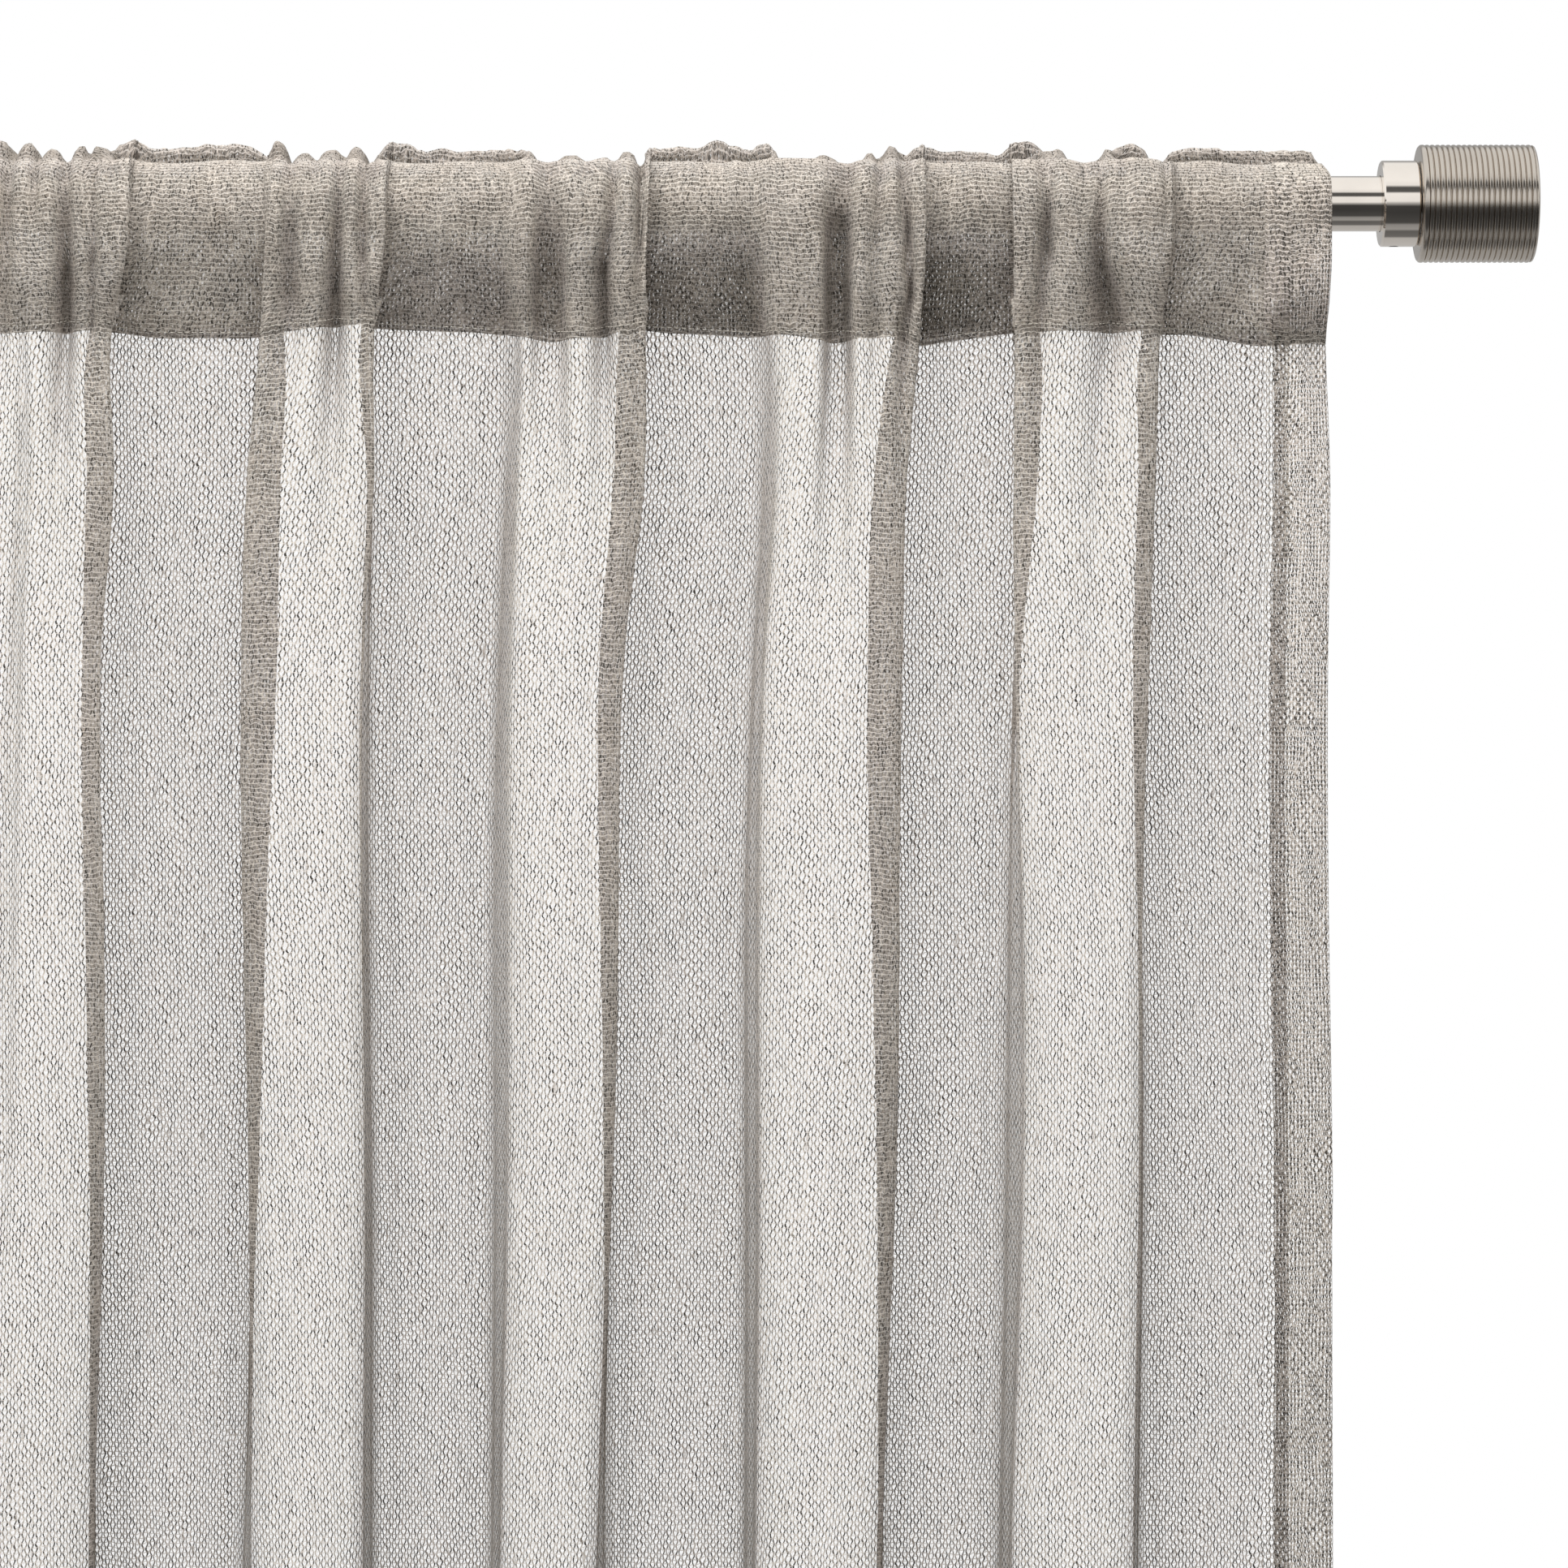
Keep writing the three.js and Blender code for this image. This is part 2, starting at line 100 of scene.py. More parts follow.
def spline_matrix(knots, samples):
    """Weights that turn values at the knots into a smooth curve's values at the samples."""
    knots, samples = np.asarray(knots, float), np.asarray(samples, float)
    n, h = len(knots), np.diff(knots)
    slope = np.zeros((n, n))
    slope[0, :2] = -1 / h[0], 1 / h[0]
    slope[-1, -2:] = -1 / h[-1], 1 / h[-1]
    for j in range(1, n - 1):
        a, b = h[j - 1], h[j]
        slope[j, j - 1 : j + 2] = -b / (a * (a + b)), (b - a) / (a * b), a / (b * (a + b))
    k = np.clip(np.searchsorted(knots, samples, side="right") - 1, 0, n - 2)
    t, hk = (samples - knots[k]) / h[k], h[k]
    weights = np.zeros((len(samples), n))
    rows = np.arange(len(samples))
    weights[rows, k] += 2 * t**3 - 3 * t**2 + 1
    weights[rows, k + 1] += 3 * t**2 - 2 * t**3
    weights += ((t**3 - 2 * t**2 + t) * hk)[:, None] * slope[k]
    weights += ((t**3 - t**2) * hk)[:, None] * slope[k + 1]
    return weights


def stepped(knots, spacings):
    """Samples that hold every knot, with each stretch between knots split to its own spacing."""
    out = [np.array([knots[0]])]
    for a, b, spacing in zip(knots[:-1], knots[1:], spacings):
        count = max(1, math.ceil((b - a) / spacing))
        out.append(np.linspace(a, b, count + 1)[1:])
    return np.concatenate(out)


def lengths_along(points, axis):
    """Distance run along a grid of points, averaged over its other axis."""
    steps = np.linalg.norm(np.diff(points[:, :, :3], axis=axis), axis=2).mean(axis=1 - axis)
    return np.concatenate([[0], np.cumsum(steps)])


def grid_normals(points):
    """Directions out of the cloth's front, with nothing in any channel after the third."""
    place = points[:, :, :3]
    normal = np.cross(np.gradient(place, axis=1), np.gradient(place, axis=0))
    out = np.zeros(points.shape)
    out[:, :, :3] = normal / np.maximum(np.linalg.norm(normal, axis=2, keepdims=True), 1e-9)
    return out


def evened(grid, bounds, settled):
    """Slide the columns along each row, so that the cloth between two bounds is spread over its
    length in the same way at every height, that of the settled rows."""
    out = grid.copy()
    for a, b in zip(bounds[:-1], bounds[1:]):
        part = grid[:, a : b + 1]
        steps = np.linalg.norm(np.diff(part[:, :, :3], axis=1), axis=2)
        run = np.concatenate([np.zeros((len(grid), 1)), np.cumsum(steps, axis=1)], axis=1)
        run /= run[:, -1:]
        even = run[settled].mean(axis=0)
        for row, places in enumerate(run):
            for channel in range(grid.shape[2]):
                out[row, a : b + 1, channel] = np.interp(even, places, part[row, :, channel])
    return out


def rumple(seed, x, y, size_x, size_y, waves=14):
    """Smooth random unevenness from -1 to 1, with bumps about size_x by size_y across."""
    rng = np.random.default_rng(seed)
    total = np.zeros(np.broadcast(x, y).shape)
    for _ in range(waves):
        turn = rng.uniform(0, 2 * np.pi)
        fx, fy = rng.normal(0, 1 / size_x), rng.normal(0, 1 / size_y)
        total += np.sin(2 * np.pi * (fx * x + fy * y) / 2 + turn)
    return total / math.sqrt(waves)


# ---- how a panel is gathered

LEVELS = (20, -25, -62, -130, -205, -336, -616, -2107)  # the heights that the folds are drawn at

# The folds that stand forward. Each has its edge nearer the panel's outer edge, its far edge,
# and how far the cloth doubles back behind each of those, at the levels.
FOLDS = [
    dict(
        near=(74.5, 75, 79.6, 81.5, 83, 88, 91.5, 88),
        near_lap=(3, 4, 8, 8, 7.4, 4, 3, 3),
        far=(148, 147.5, 147, 146.8, 145.3, 143.5, 148.8, 147),
        far_lap=(8, 10, 13, 11, 6, 3, 3, 2),
    ),
    dict(
        near=(186.8, 187, 189.8, 195, 195.6, 198.5, 206.5, 208),
        near_lap=(5, 6, 12, 16, 16.6, 12, 5, 5),
        far=(259.5, 258, 256, 255.8, 259.5, 264, 265.5, 266),
        far_lap=(0, 0, 0, 2, 3, 3, 3, 3),
    ),
    dict(
        near=(312.5, 314, 314.5, 314.5, 322, 326.5, 336, 336),
        near_lap=(5, 8, 13, 16, 13, 8.5, 3, 3),
        far=(372.8, 374, 370.5, 373.5, 375, 377.8, 381.5, 382),
        far_lap=(2, 2, 0, 2, 2, 2, 3, 2),
    ),
    dict(
        near=(432.5, 433.5, 438, 437.5, 441, 443, 442.5, 446),
        near_lap=(4, 6, 8, 6.6, 4, 3, 3, 3),
        far=(486.7, 489, 491, 495.8, 496.9, 497.6, 495, 497),
        far_lap=(4, 6, 10, 13, 14, 9, 3, 2),
    ),
    dict(
        near=(550, 550.5, 558, 556, 560.4, 560.4, 565, 570),
        near_lap=(4, 6, 12, 16, 12, 11, 6.5, 6),
        far=(628, 628, 628, 630, 630, 631, 632, 634),
        far_lap=(0, 0, 2, 3, 2, 0, 0, 0),
    ),
]
EDGE = (2, 1.7, 3, 1.2, 0.8, 0.4, -0.4, 0.5)  # where the panel's edge hangs at the levels

# How far forward the cloth stands in the hollows and on the folds, by height.
DEPTH_HEIGHTS = (-2107, -616, -160, -100, -62)
HOLLOW = (3, 4, 4, 4.5, 5)
CREST = (31, 33, 32, 29, 25)


def pleat(*run):
    """A pleat pressed into the gathers: (height, d, depth, half width) down it. A negative depth
    is a ridge."""
    return dict(run=run, squareness=1.3)


def flat_floored(*run):
    """A wide pleat with a flat floor, in the same terms."""
    return dict(run=run, squareness=4)


CREASES = [
    pleat((24, 77.3, 3, 1.6), (-13, 77.3, 2, 1.6), (-30, 78, 0, 1.6)),
    pleat(
        (19, 106.5, 1.5, 2.2), (0, 107, 6, 2.4), (-27, 107.5, 13, 4.2), (-45, 104.5, 16, 6.5),
        (-62, 102, 14, 8.5), (-90, 107, 8, 8), (-168, 110, 3, 7), (-260, 111, 0, 7),
    ),
    pleat(
        (15, 130, 1, 2), (0, 130.5, 6, 2.2), (-27, 132, 12, 3.4), (-40, 133.5, 9, 3.6),
        (-62, 134.5, 5, 4), (-130, 135, 1.5, 5), (-180, 135, 0, 5),
    ),
    pleat(
        (22, 198.5, 5, 2), (-22, 194.8, 9, 2.2), (-45, 194, 10, 2.4), (-62, 196.8, 9, 2.4),
        (-110, 198, 4, 3), (-150, 198, 0, 3),
    ),
    pleat((18, 208.4, 4, 2.2), (-40, 210, 6, 2.5), (-62, 210, 5, 2.6), (-125, 211, 0, 3)),
    flat_floored(
        (19, 227, 2, 6), (-4, 227, 6, 6.2), (-20, 227, 13, 6.2), (-45, 227, 17, 6),
        (-62, 227, 15, 6), (-125, 228, 7, 7), (-210, 229, 0, 8),
    ),
    pleat((12, 274, -3, 4), (-20, 275, -3, 4.5), (-50, 277, 0, 5)),
    pleat((14, 316.8, 6, 1.8), (-12, 317.2, 8, 1.8), (-35, 318, 5, 1.8), (-60, 319, 2, 1.8)),
    pleat(
        (14, 329.5, 2, 2.4), (-11, 331, 7, 2.8), (-34, 334.5, 13, 3.6), (-62, 334, 13, 4),
        (-110, 334, 5, 5), (-175, 334, 0, 5),
    ),
    flat_floored(
        (10, 358, 1, 7), (-14, 358.5, 6, 7.5), (-38, 359, 13, 8), (-62, 359, 11, 8),
        (-120, 359, 4, 9), (-210, 359, 0, 9),
    ),
    pleat((22, 443, 5, 2), (-25, 444, 9, 2.6), (-45, 442.6, 6, 2.4), (-62, 443, 0, 2)),
    pleat(
        (14, 455, 2, 2.2), (-10, 455.5, 7, 2.6), (-35, 456.5, 14, 3.6), (-62, 457, 14, 4.4),
        (-120, 458, 5, 5), (-200, 459, 0, 5),
    ),
    pleat(
        (5, 476, 2, 4.5), (-20, 476.5, 8, 5), (-45, 477, 10, 5.5), (-62, 477, 6, 6),
        (-115, 478, 0, 7),
    ),
    pleat((10, 566.3, 4, 2), (-20, 566.6, 8, 2.2), (-60, 567.5, 6, 2.2), (-100, 568, 0, 2.4)),
    pleat(
        (19, 579, 3, 2.6), (-10, 579, 9, 3.2), (-40, 579.5, 15, 4), (-62, 580, 14, 4.4),
        (-130, 581, 4, 5), (-210, 582, 0, 5),
    ),
    pleat((22, 593.5, 3, 2.2), (-5, 593, 3, 3), (-30, 592, 0, 3)),
    pleat((22, 606, 5, 2.2), (-20, 606.5, 7, 2.6), (-62, 607, 5, 3), (-110, 607, 0, 4)),
    pleat(
        (-40, 600, 0, 2), (-70, 599, 5, 2.2), (-130, 596.5, 6, 2.2), (-205, 599, 6, 2.2),
        (-336, 604, 5, 3), (-455, 608, 3, 4), (-560, 612, 0, 5),
    ),
]

# The heading's top. The flats are the stretches between gathers, where the rolled edge stands
# behind the crown: (d, height, half width, squareness). The tufts are (d, height, half width).
FLATS = [
    (40, 25.6, 37, 12), (171, 25.4, 25, 5), (290, 26.8, 27, 8), (403, 25.6, 34, 8),
    (525, 26.5, 37, 8), (672, 25.7, 45, 12),
]
TUFTS = [
    (93, 27.8, 10), (102.6, 24.8, 4), (126.6, 24.6, 5), (141, 28.9, 12),
    (186, 27, 10), (202, 26, 6), (211.5, 23.8, 4), (231.6, 21.8, 5),
    (261.3, 28, 7), (275, 26.4, 6), (283, 31, 9), (311.5, 26.8, 5),
    (324, 23.9, 5.5), (334, 22, 4), (349, 21.6, 7), (371.5, 25, 6),
    (409, 26.6, 14), (428.5, 29.2, 12), (448, 25.8, 5), (459.5, 24.6, 7),
    (472.5, 23.6, 6), (484.2, 29, 5.5), (500, 26.6, 9), (517, 27.4, 12),
    (551, 29.8, 11), (566.4, 27, 4.8), (575.2, 26.2, 4.2), (588.6, 24.6, 5.2),
    (599.2, 28, 6.5), (611, 28.2, 6.5), (623, 25.4, 6), (634, 27.2, 7),
]
CROWN = 19.4  # the cloth's height over the rod where nothing stands up
LIFTED = [(100, 134), (197, 257), (314, 371), (437, 488), (560, 632)]  # no rolled edge shows here

# The pocket's seam, which dips between the gathers: (d, height).
SEAM = [
    (0, -65.5), (34, -66), (67, -60.5), (110, -60.8), (147, -60), (189, -65.7), (202, -63),
    (230, -64.8), (258, -62.4), (316, -59), (332, -62.2), (358, -65), (379, -61), (442, -57.4),
    (458, -58.5), (499, -62.4), (539, -61.9), (563, -58.8), (600, -61), (660, -64), (715, -65),
]
SEAM_LEVEL = -62

# How much painted shade darkens the pocket's lower half in each hollow: (d, share).
GLOOM = [
    (85, 0), (150, 0.4), (171, 0.62), (262, 0.6), (290, 0.5), (402, 0.3), (525, 0.1), (640, 0),
]

# How much painted shade darkens the cloth turning at a fold's edge: (height, share, reach to each side).
TURNED = [
    (-62, 0, 4), (-130, 0.03, 4), (-205, 0.08, 5),
    (-336, 0.2, 8), (-616, 0.44, 12), (-2107, 0.44, 12),
]

# Once round the pocket, from the seam up the front, over the crown and the rolled edge, and down
# the back to the seam: (f, z) in a hollow and on a fold. From "top", z is below the heading's top.
POCKET = [
    ((5, -62), (25, -62)), ((9, -50), (27, -49)), ((13.4, -34), (28.6, -34)),
    ((16.8, -18), (29.4, -18)), ((18, -4), (29.2, -4)), ((17, 6), (27.2, 6.5)),
    ((13, 14), (21.5, 14.5)), ((8, 18.2), (14, 18.6)),
]
POCKET_CROWN = [
    ((3.4, 18.9), (7.6, "top", -2.6)), ((0.4, 17.6), (4.2, "top", -0.9)),
    ((-0.7, 19.2), (1.6, "top", -0.1)), ((-1.2, "top", -2.6), (-1.2, "top", 0)),
    ((-3.2, "top", 0), (-4, "top", -0.7)), ((-5.7, "top", -2.4), (-6.8, "top", -3.2)),
    ((-6.2, 18.6), (-9, 17.4)), ((-7.6, 15.2), (-11.4, 14)),
]
POCKET_BACK = [
    ((-11.6, 10.5), (-14.6, 9)), ((-15, 0), (-15.6, 0)), ((-14.4, -14), (-13, -16)),
    ((-8.6, -32), (0, -34)), ((-1.6, -50), (14.5, -50)), ((4.2, -62), (24, -62)),
]
SEAM_PULL = (1, 0.7, 0.35, 0.1)  # how much of the seam's dip each point near it takes
RIDGE_ROW = len(POCKET) + 4  # the point of the profile where the pocket's front ends
FOLD_DEPTH = 28  # from the hollows to the folds, about
PLEAT_PRESS = 1.15  # how far the cloth moves for each millimetre of a pleat's depth
LINING_GAP = 0.8  # between the two thicknesses of the pocket
HEM_GAP = 0.7  # between the thicknesses of a turned hem
HEM_TURNING = 12.5  # how much of a side hem's raw edge is turned in
HEM_MIDDLE = 16  # where a side hem's middle bows forward a little
FOLD_FOOT = 16  # how far from a fold's edge the hollow beside it is flat
CUP_CLEARANCE = 3.0  # the outer end of the pocket bulges round the bracket's cup
CUP_END = 34  # how far in from the panel's edge that bulge reaches


def gathers():
    """Small creases that run down from between neighbouring tufts of the heading."""
    places = [tuft[0] for tuft in TUFTS]
    creases = []
    for a, b in zip(places[:-1], places[1:]):
        if b - a < 25:
            at, half = (a + b) / 2, (b - a) / 5
            depths = [(24, 2.5), (10, 3.2), (-12, 2.0), (-38, 0)]
            creases.append(pleat(*[(z, at, depth, half) for z, depth in depths]))
    return creases


def mirrored(design):
    """The same design with its folds in the opposite order, for the other panel."""
    w = PANEL_WIDTH

    def flip(values):
        return tuple(w - v for v in values)

    folds = [
        dict(near=flip(far), near_lap=far_lap, far=flip(near), far_lap=near_lap)
        for near, near_lap, far, far_lap in [fold.values() for fold in reversed(design["folds"])]
    ]
    creases = [
        dict(c, run=[(z, w - d, depth, half) for z, d, depth, half in c["run"]])
        for c in design["creases"]
    ]
    lifted = [(w - b, w - a) for a, b in design["lifted"]]
    tables = {
        part: [(w - d, *rest) for d, *rest in reversed(design[part])]
        for part in ("flats", "tufts", "seam", "gloom")
    }
    return dict(folds=folds, creases=creases, lifted=lifted, **tables)


RIGHT_DESIGN = dict(folds=FOLDS, creases=CREASES + gathers(), lifted=LIFTED)
RIGHT_DESIGN.update(flats=FLATS, tufts=TUFTS, seam=SEAM, gloom=GLOOM)


def fold_controls(fold):
    """One fold's plan as (d at each level, share of the way forward, column spacing after it)."""
    near, far = np.array(fold["near"], float), np.array(fold["far"], float)
    lap, far_lap = np.array(fold["near_lap"], float), np.array(fold["far_lap"], float)
    tucked, far_tucked = ease(lap / 8), ease(far_lap / 8)
    width = far - near
    return [
        (near - FOLD_FOOT, 0.02, 2.6),
        (mix(near - 6, near + lap - 4, tucked), -0.02, 1.9),
        (mix(near - 3.5, near + lap, tucked), 0.14, 1.9),
        (mix(near - 2.2, near + lap - 4, tucked), 0.33, 1.9),
        (mix(near - 1, near + 4, tucked), 0.66, 1.8),
        (near, 0.84, 1.8),
        (near + 4, 0.99, 2.3),
        (near + 0.3 * width, 1.05, 2.3),
        (near + 0.5 * width, 1.08, 2.3),
        (near + 0.7 * width, 1.05, 2.3),
        (mix(far - 9, far - 4, far_tucked), 0.99, 1.9),
        (mix(far - 2.5, far, far_tucked), 0.84, 1.9),
        (mix(far + 1, far - 4, far_tucked), 0.66, 1.9),
        (mix(far + 5, far - far_lap + 4, far_tucked), 0.33, 1.9),
        (mix(far + 8.5, far - far_lap, far_tucked), 0.14, 1.9),
        (mix(far + 13, far - far_lap + 4, far_tucked), -0.02, 2.6),
        (mix(far + 20, far + 6, far_tucked), 0.02, 3.2),
    ]


def plan_controls(folds):
    """The whole panel's plan, and which of its controls stand at the inner edge of a side hem or
    in the middle of a hollow."""
    level = np.ones(len(LEVELS))
    edge, w = np.array(EDGE, float), PANEL_WIDTH
    plan = [(edge, 0.05, 2.6), (HEM_MIDDLE * level, 0.12, 2.6), (HEM_WIDTH * level, 0.05, 3.0)]
    bounds = [len(plan) - 1]
    plan.append((mix(HEM_WIDTH, np.array(folds[0]["near"]) - FOLD_FOOT, 0.5), -0.03, 3.0))
    for fold, following in zip(folds, [*folds[1:], None]):
        plan += fold_controls(fold)
        if following:
            gap = (np.array(fold["far"]) + np.array(following["near"])) / 2
            bounds.append(len(plan))
            plan.append((gap, 0.05, 3.2))
    plan.append((mix(np.array(folds[-1]["far"]) + FOLD_FOOT, w - HEM_WIDTH, 0.5), -0.03, 3.0))
    bounds.append(len(plan))
    plan += [((w - HEM_WIDTH) * level, 0.05, 2.6), ((w - HEM_MIDDLE) * level, 0.12, 2.6)]
    plan.append((w - edge, 0.05, 2.6))
    return plan, bounds


def heading_top(design, d):
    """Height of the heading's top along the panel."""
    top = np.full(d.shape, CROWN)
    for at, height, half, squareness in design["flats"]:
        reach = np.clip(1 - np.abs((d - at) / half) ** squareness, 0, 1)
        top = np.maximum(top, CROWN + (height - CROWN) * reach)
    for at, height, half in design["tufts"]:
        reach = np.clip(1 - np.abs((d - at) / half) ** 2, 0, 1)
        top = np.maximum(top, CROWN + (height - CROWN) * reach**0.6)
    return top


def lifted_share(design, d):
    """1 where gathers hide the rolled edge, 0 where it shows."""
    share = np.zeros(d.shape)
    for a, b in design["lifted"]:
        share = np.maximum(share, ease((d - a) / 4 + 0.5) * ease((b - d) / 4 + 0.5))
    return share


def on_fold(share):
    """1 on the folds that stand forward, which the pleats are in, and 0 in the hollows."""
    return ease((share - 0.5) / 0.3)


def crease_depth(design, d, z):
    """How deep the pleats press into the cloth at each point."""
    depth = np.zeros(d.shape)
    for crease in design["creases"]:
        run = np.array(sorted(crease["run"]), float)
        at, deep, half = (np.interp(z, run[:, 0], run[:, k]) for k in (1, 2, 3))
        across = np.abs((d - at) / half) ** crease["squareness"]
        depth = depth + deep * np.exp(-across)
    return depth


def fold_edge_distance(design, d, z):
    """How far each point is, across the panel, from the nearest edge of a fold."""
    levels = [-level for level in LEVELS]
    nearest = np.full(d.shape, 1000.0)
    for fold in design["folds"]:
        for side in ("near", "far"):
            nearest = np.minimum(nearest, np.abs(d - np.interp(-z, levels, fold[side])))
    return nearest


def drop_heights():
    """Heights of the cloth's rows below the pocket's seam, close together near it."""
    ends = (SEAM_LEVEL, -90, -200, -420, -760, BOTTOM + BOTTOM_HEM, BOTTOM)
    spacings = (3.5, 6, 11, 18, 30, 15)
    return -stepped([-height for height in ends], spacings)[1:]


def pocket_points(design, share, top, lifted, seam_z):
    """Grids of f and z round the pocket, one row per point of the drawn profile."""
    out_f, out_z = [], []

    def height(point):
        return top + point[2] if point[1] == "top" else point[1] * np.ones_like(top)

    for row, (hollow, crest) in enumerate(POCKET + POCKET_CROWN + POCKET_BACK):
        on_crown = len(POCKET) <= row < len(POCKET) + len(POCKET_CROWN)
        weight = lifted if on_crown else share
        out_f.append(mix(hollow[0], crest[0], weight))
        out_z.append(mix(height(hollow), height(crest), weight))
    f, z = np.array(out_f), np.array(out_z)
    for row, pull in enumerate(SEAM_PULL):
        z[row] += pull * (seam_z - SEAM_LEVEL)
        z[-1 - row] += pull * (seam_z - SEAM_LEVEL)
    return f, z


def panel_columns(design):
    """The columns of the panel's grid: where each is across the panel at every level, its share of
    the way forward, and which ones the side hems and the hollows' middles are on."""
    plan, bounds = plan_controls(design["folds"])
    d_at_levels = np.array([p[0] for p in plan]).T
    share_at = np.array([p[1] for p in plan])
    forward = share_at * FOLD_DEPTH
    chords = [np.hypot(np.diff(d_at_levels[k]), np.diff(forward)) for k in (2, 3, 4)]
    knots = np.concatenate([[0], np.cumsum(np.mean(chords, axis=0))])
    columns = stepped(knots, [p[2] for p in plan])
    across = spline_matrix(knots, columns)
    bound_columns = [int(np.argmin(np.abs(columns - knots[k]))) for k in bounds]
    return d_at_levels @ across.T, across @ share_at, bound_columns


def pocket_spacing(row):
    """How close the rows are after each point of the pocket's profile, finest over the crown."""
    if row < len(POCKET) - 2:
        return 3.0
    return 1.5 if row < len(POCKET) + len(POCKET_CROWN) else 4.5


def pocket_grid(design, seed, d_levels, share, seam_z):
    """The outer layer of the pocket, from the seam up the front, over the rod and down the back."""
    top = heading_top(design, d_levels[0])
    top = top + 0.45 * rumple(seed + 4, d_levels[0], 0, 9, 9)
    top = top + 0.3 * rumple(seed + 5, d_levels[0], 0, 3, 3)
    lifted = lifted_share(design, d_levels[0])
    f_ctrl, z_ctrl = pocket_points(design, share, top, lifted, seam_z)
    middle = np.stack([f_ctrl.mean(1), z_ctrl.mean(1)], axis=1)
    knots = np.concatenate([[0], np.cumsum(np.linalg.norm(np.diff(middle, axis=0), axis=1))])
    profile = stepped(knots, [pocket_spacing(row) for row in range(len(knots) - 1)])
    around = spline_matrix(knots, profile)
    f, z = around @ f_ctrl, around @ z_ctrl
    z += 0.9 * (share - 0.5) * ease((z - 10) / 8)
    by_level = spline_matrix([-x for x in LEVELS], np.clip(-z.mean(1), -20, 62))
    d = by_level @ d_levels

    # pleats press along the outward direction of the profile
    out_f, out_z = np.gradient(z, axis=0), -np.gradient(f, axis=0)
    size = np.maximum(np.hypot(out_f, out_z), 1e-6)
    out_f, out_z = out_f / size, out_z / size
    in_front = profile[:, None] <= knots[RIDGE_ROW]
    depth = crease_depth(design, d, z)
    ridge = np.where(depth < 0, 1, on_fold(share))
    press = -PLEAT_PRESS * depth * ridge * in_front
    press = press * mix(1.0, 0.55, ease((z - 12) / 6))
    press = press + 0.7 * rumple(seed, d, profile[:, None], 26, 20)
    bulge = CUP_CLEARANCE * ease((CUP_END - d) / 8)
    bulge = bulge * ease((z + 62) / 18) * ease((20 - z) / 12)
    bulge = bulge * mix(1, 2.2, ease((-10 - z) / 25))
    f = f + out_f * press + bulge * in_front
    z = z + out_z * press
    near_seam = ease((-12 - z) / 42) * ~in_front
    f = f - PLEAT_PRESS * crease_depth(design, d, np.minimum(z, -14)) * ridge * near_seam

    # the panel's outer corner is rounded, and the back of the pocket is tucked past the bracket
    corner = ease((z - 10) / 9) * 3.6 * np.clip(1 - d / 16, 0, 1)
    tuck = ease((18 - z) / 12) * ease((z + 63) / 9) * 0.85
    tucked_d = d + np.maximum(HEM_WIDTH - d, 0) * tuck
    d = np.where(in_front, d, tucked_d) + corner
    return np.stack([d, f, z, np.broadcast_to(share, d.shape)], axis=2)


def drop_grid(design, seed, d_levels, share, seam_z):
    """The cloth below the pocket's seam, down to the bottom edge."""
    heights = drop_heights()
    back = np.interp(heights, DEPTH_HEIGHTS, HOLLOW)[:, None]
    front = np.interp(heights, DEPTH_HEIGHTS, CREST)[:, None]
    d = spline_matrix([-x for x in LEVELS], -heights) @ d_levels
    f = mix(back, front, share[None, :])
    near_seam = np.exp((heights - SEAM_LEVEL) / 60)[:, None]
    z = heights[:, None] + (seam_z - SEAM_LEVEL)[None, :] * near_seam
    free = 1 - near_seam
    f -= PLEAT_PRESS * crease_depth(design, d, z) * on_fold(share)
    f += 1.1 * rumple(seed + 1, d, heights[:, None], 60, 420) * free
    f += 0.5 * rumple(seed + 2, d, heights[:, None], 22, 90) * free
    sway = 0.9 * rumple(seed + 3, share[None, :] * 20, heights[:, None], 40, 300)
    d = d + sway * free * (d > 0)
    return np.stack([d, f, z, np.broadcast_to(share, d.shape)], axis=2)


def build_panel_grid(design, seed):
    """The outer layer of one panel as a grid of (d, f, z, share of the way forward), from the back
    seam round the rod and down to the bottom edge, with what the rest of the panel needs to know
    about it."""
    d_levels, share, bound_columns = panel_columns(design)
    seam_d, seam_height = np.array(design["seam"], float).T
    seam_z = np.interp(d_levels[2], seam_d, seam_height)
    pocket = pocket_grid(design, seed, d_levels, share, seam_z)[::-1]
    drop = drop_grid(design, seed, d_levels, share, seam_z)
    settled = slice(len(pocket), int(np.sum(drop_heights() > -900)) + len(pocket))
    return dict(
        grid=evened(np.concatenate([pocket, drop]), bound_columns, settled),
        pocket_rows=len(pocket),
        outer_hem=bound_columns[0],
        leading_hem=bound_columns[-1],
    )


def build_layers(panel):
    """The panel's full run of cloth, from inside the pocket to inside the bottom hem, as a grid."""
    grid, rows = panel["grid"], panel["pocket_rows"]
    normal = grid_normals(grid)
    lining = (grid - normal * LINING_GAP)[: rows - 1][::-2]
    hem_rows = int(np.sum(grid[:, :, 2].mean(axis=1) < BOTTOM + BOTTOM_HEM)) + 1
    turned_up = (grid - normal * HEM_GAP)[-hem_rows:][::-1].copy()
    turned_up[:, :, 2] += np.linspace(1.0, 0, hem_rows)[:, None]
    turned_in = (grid - normal * 2 * HEM_GAP)[-hem_rows:].copy()
    turned_in[:, :, 2] += np.linspace(-1.2, 1.6, hem_rows)[:, None]
    full = np.concatenate([lining, grid, turned_up, turned_in])
    panel["run"] = lengths_along(full, 0)
    return full


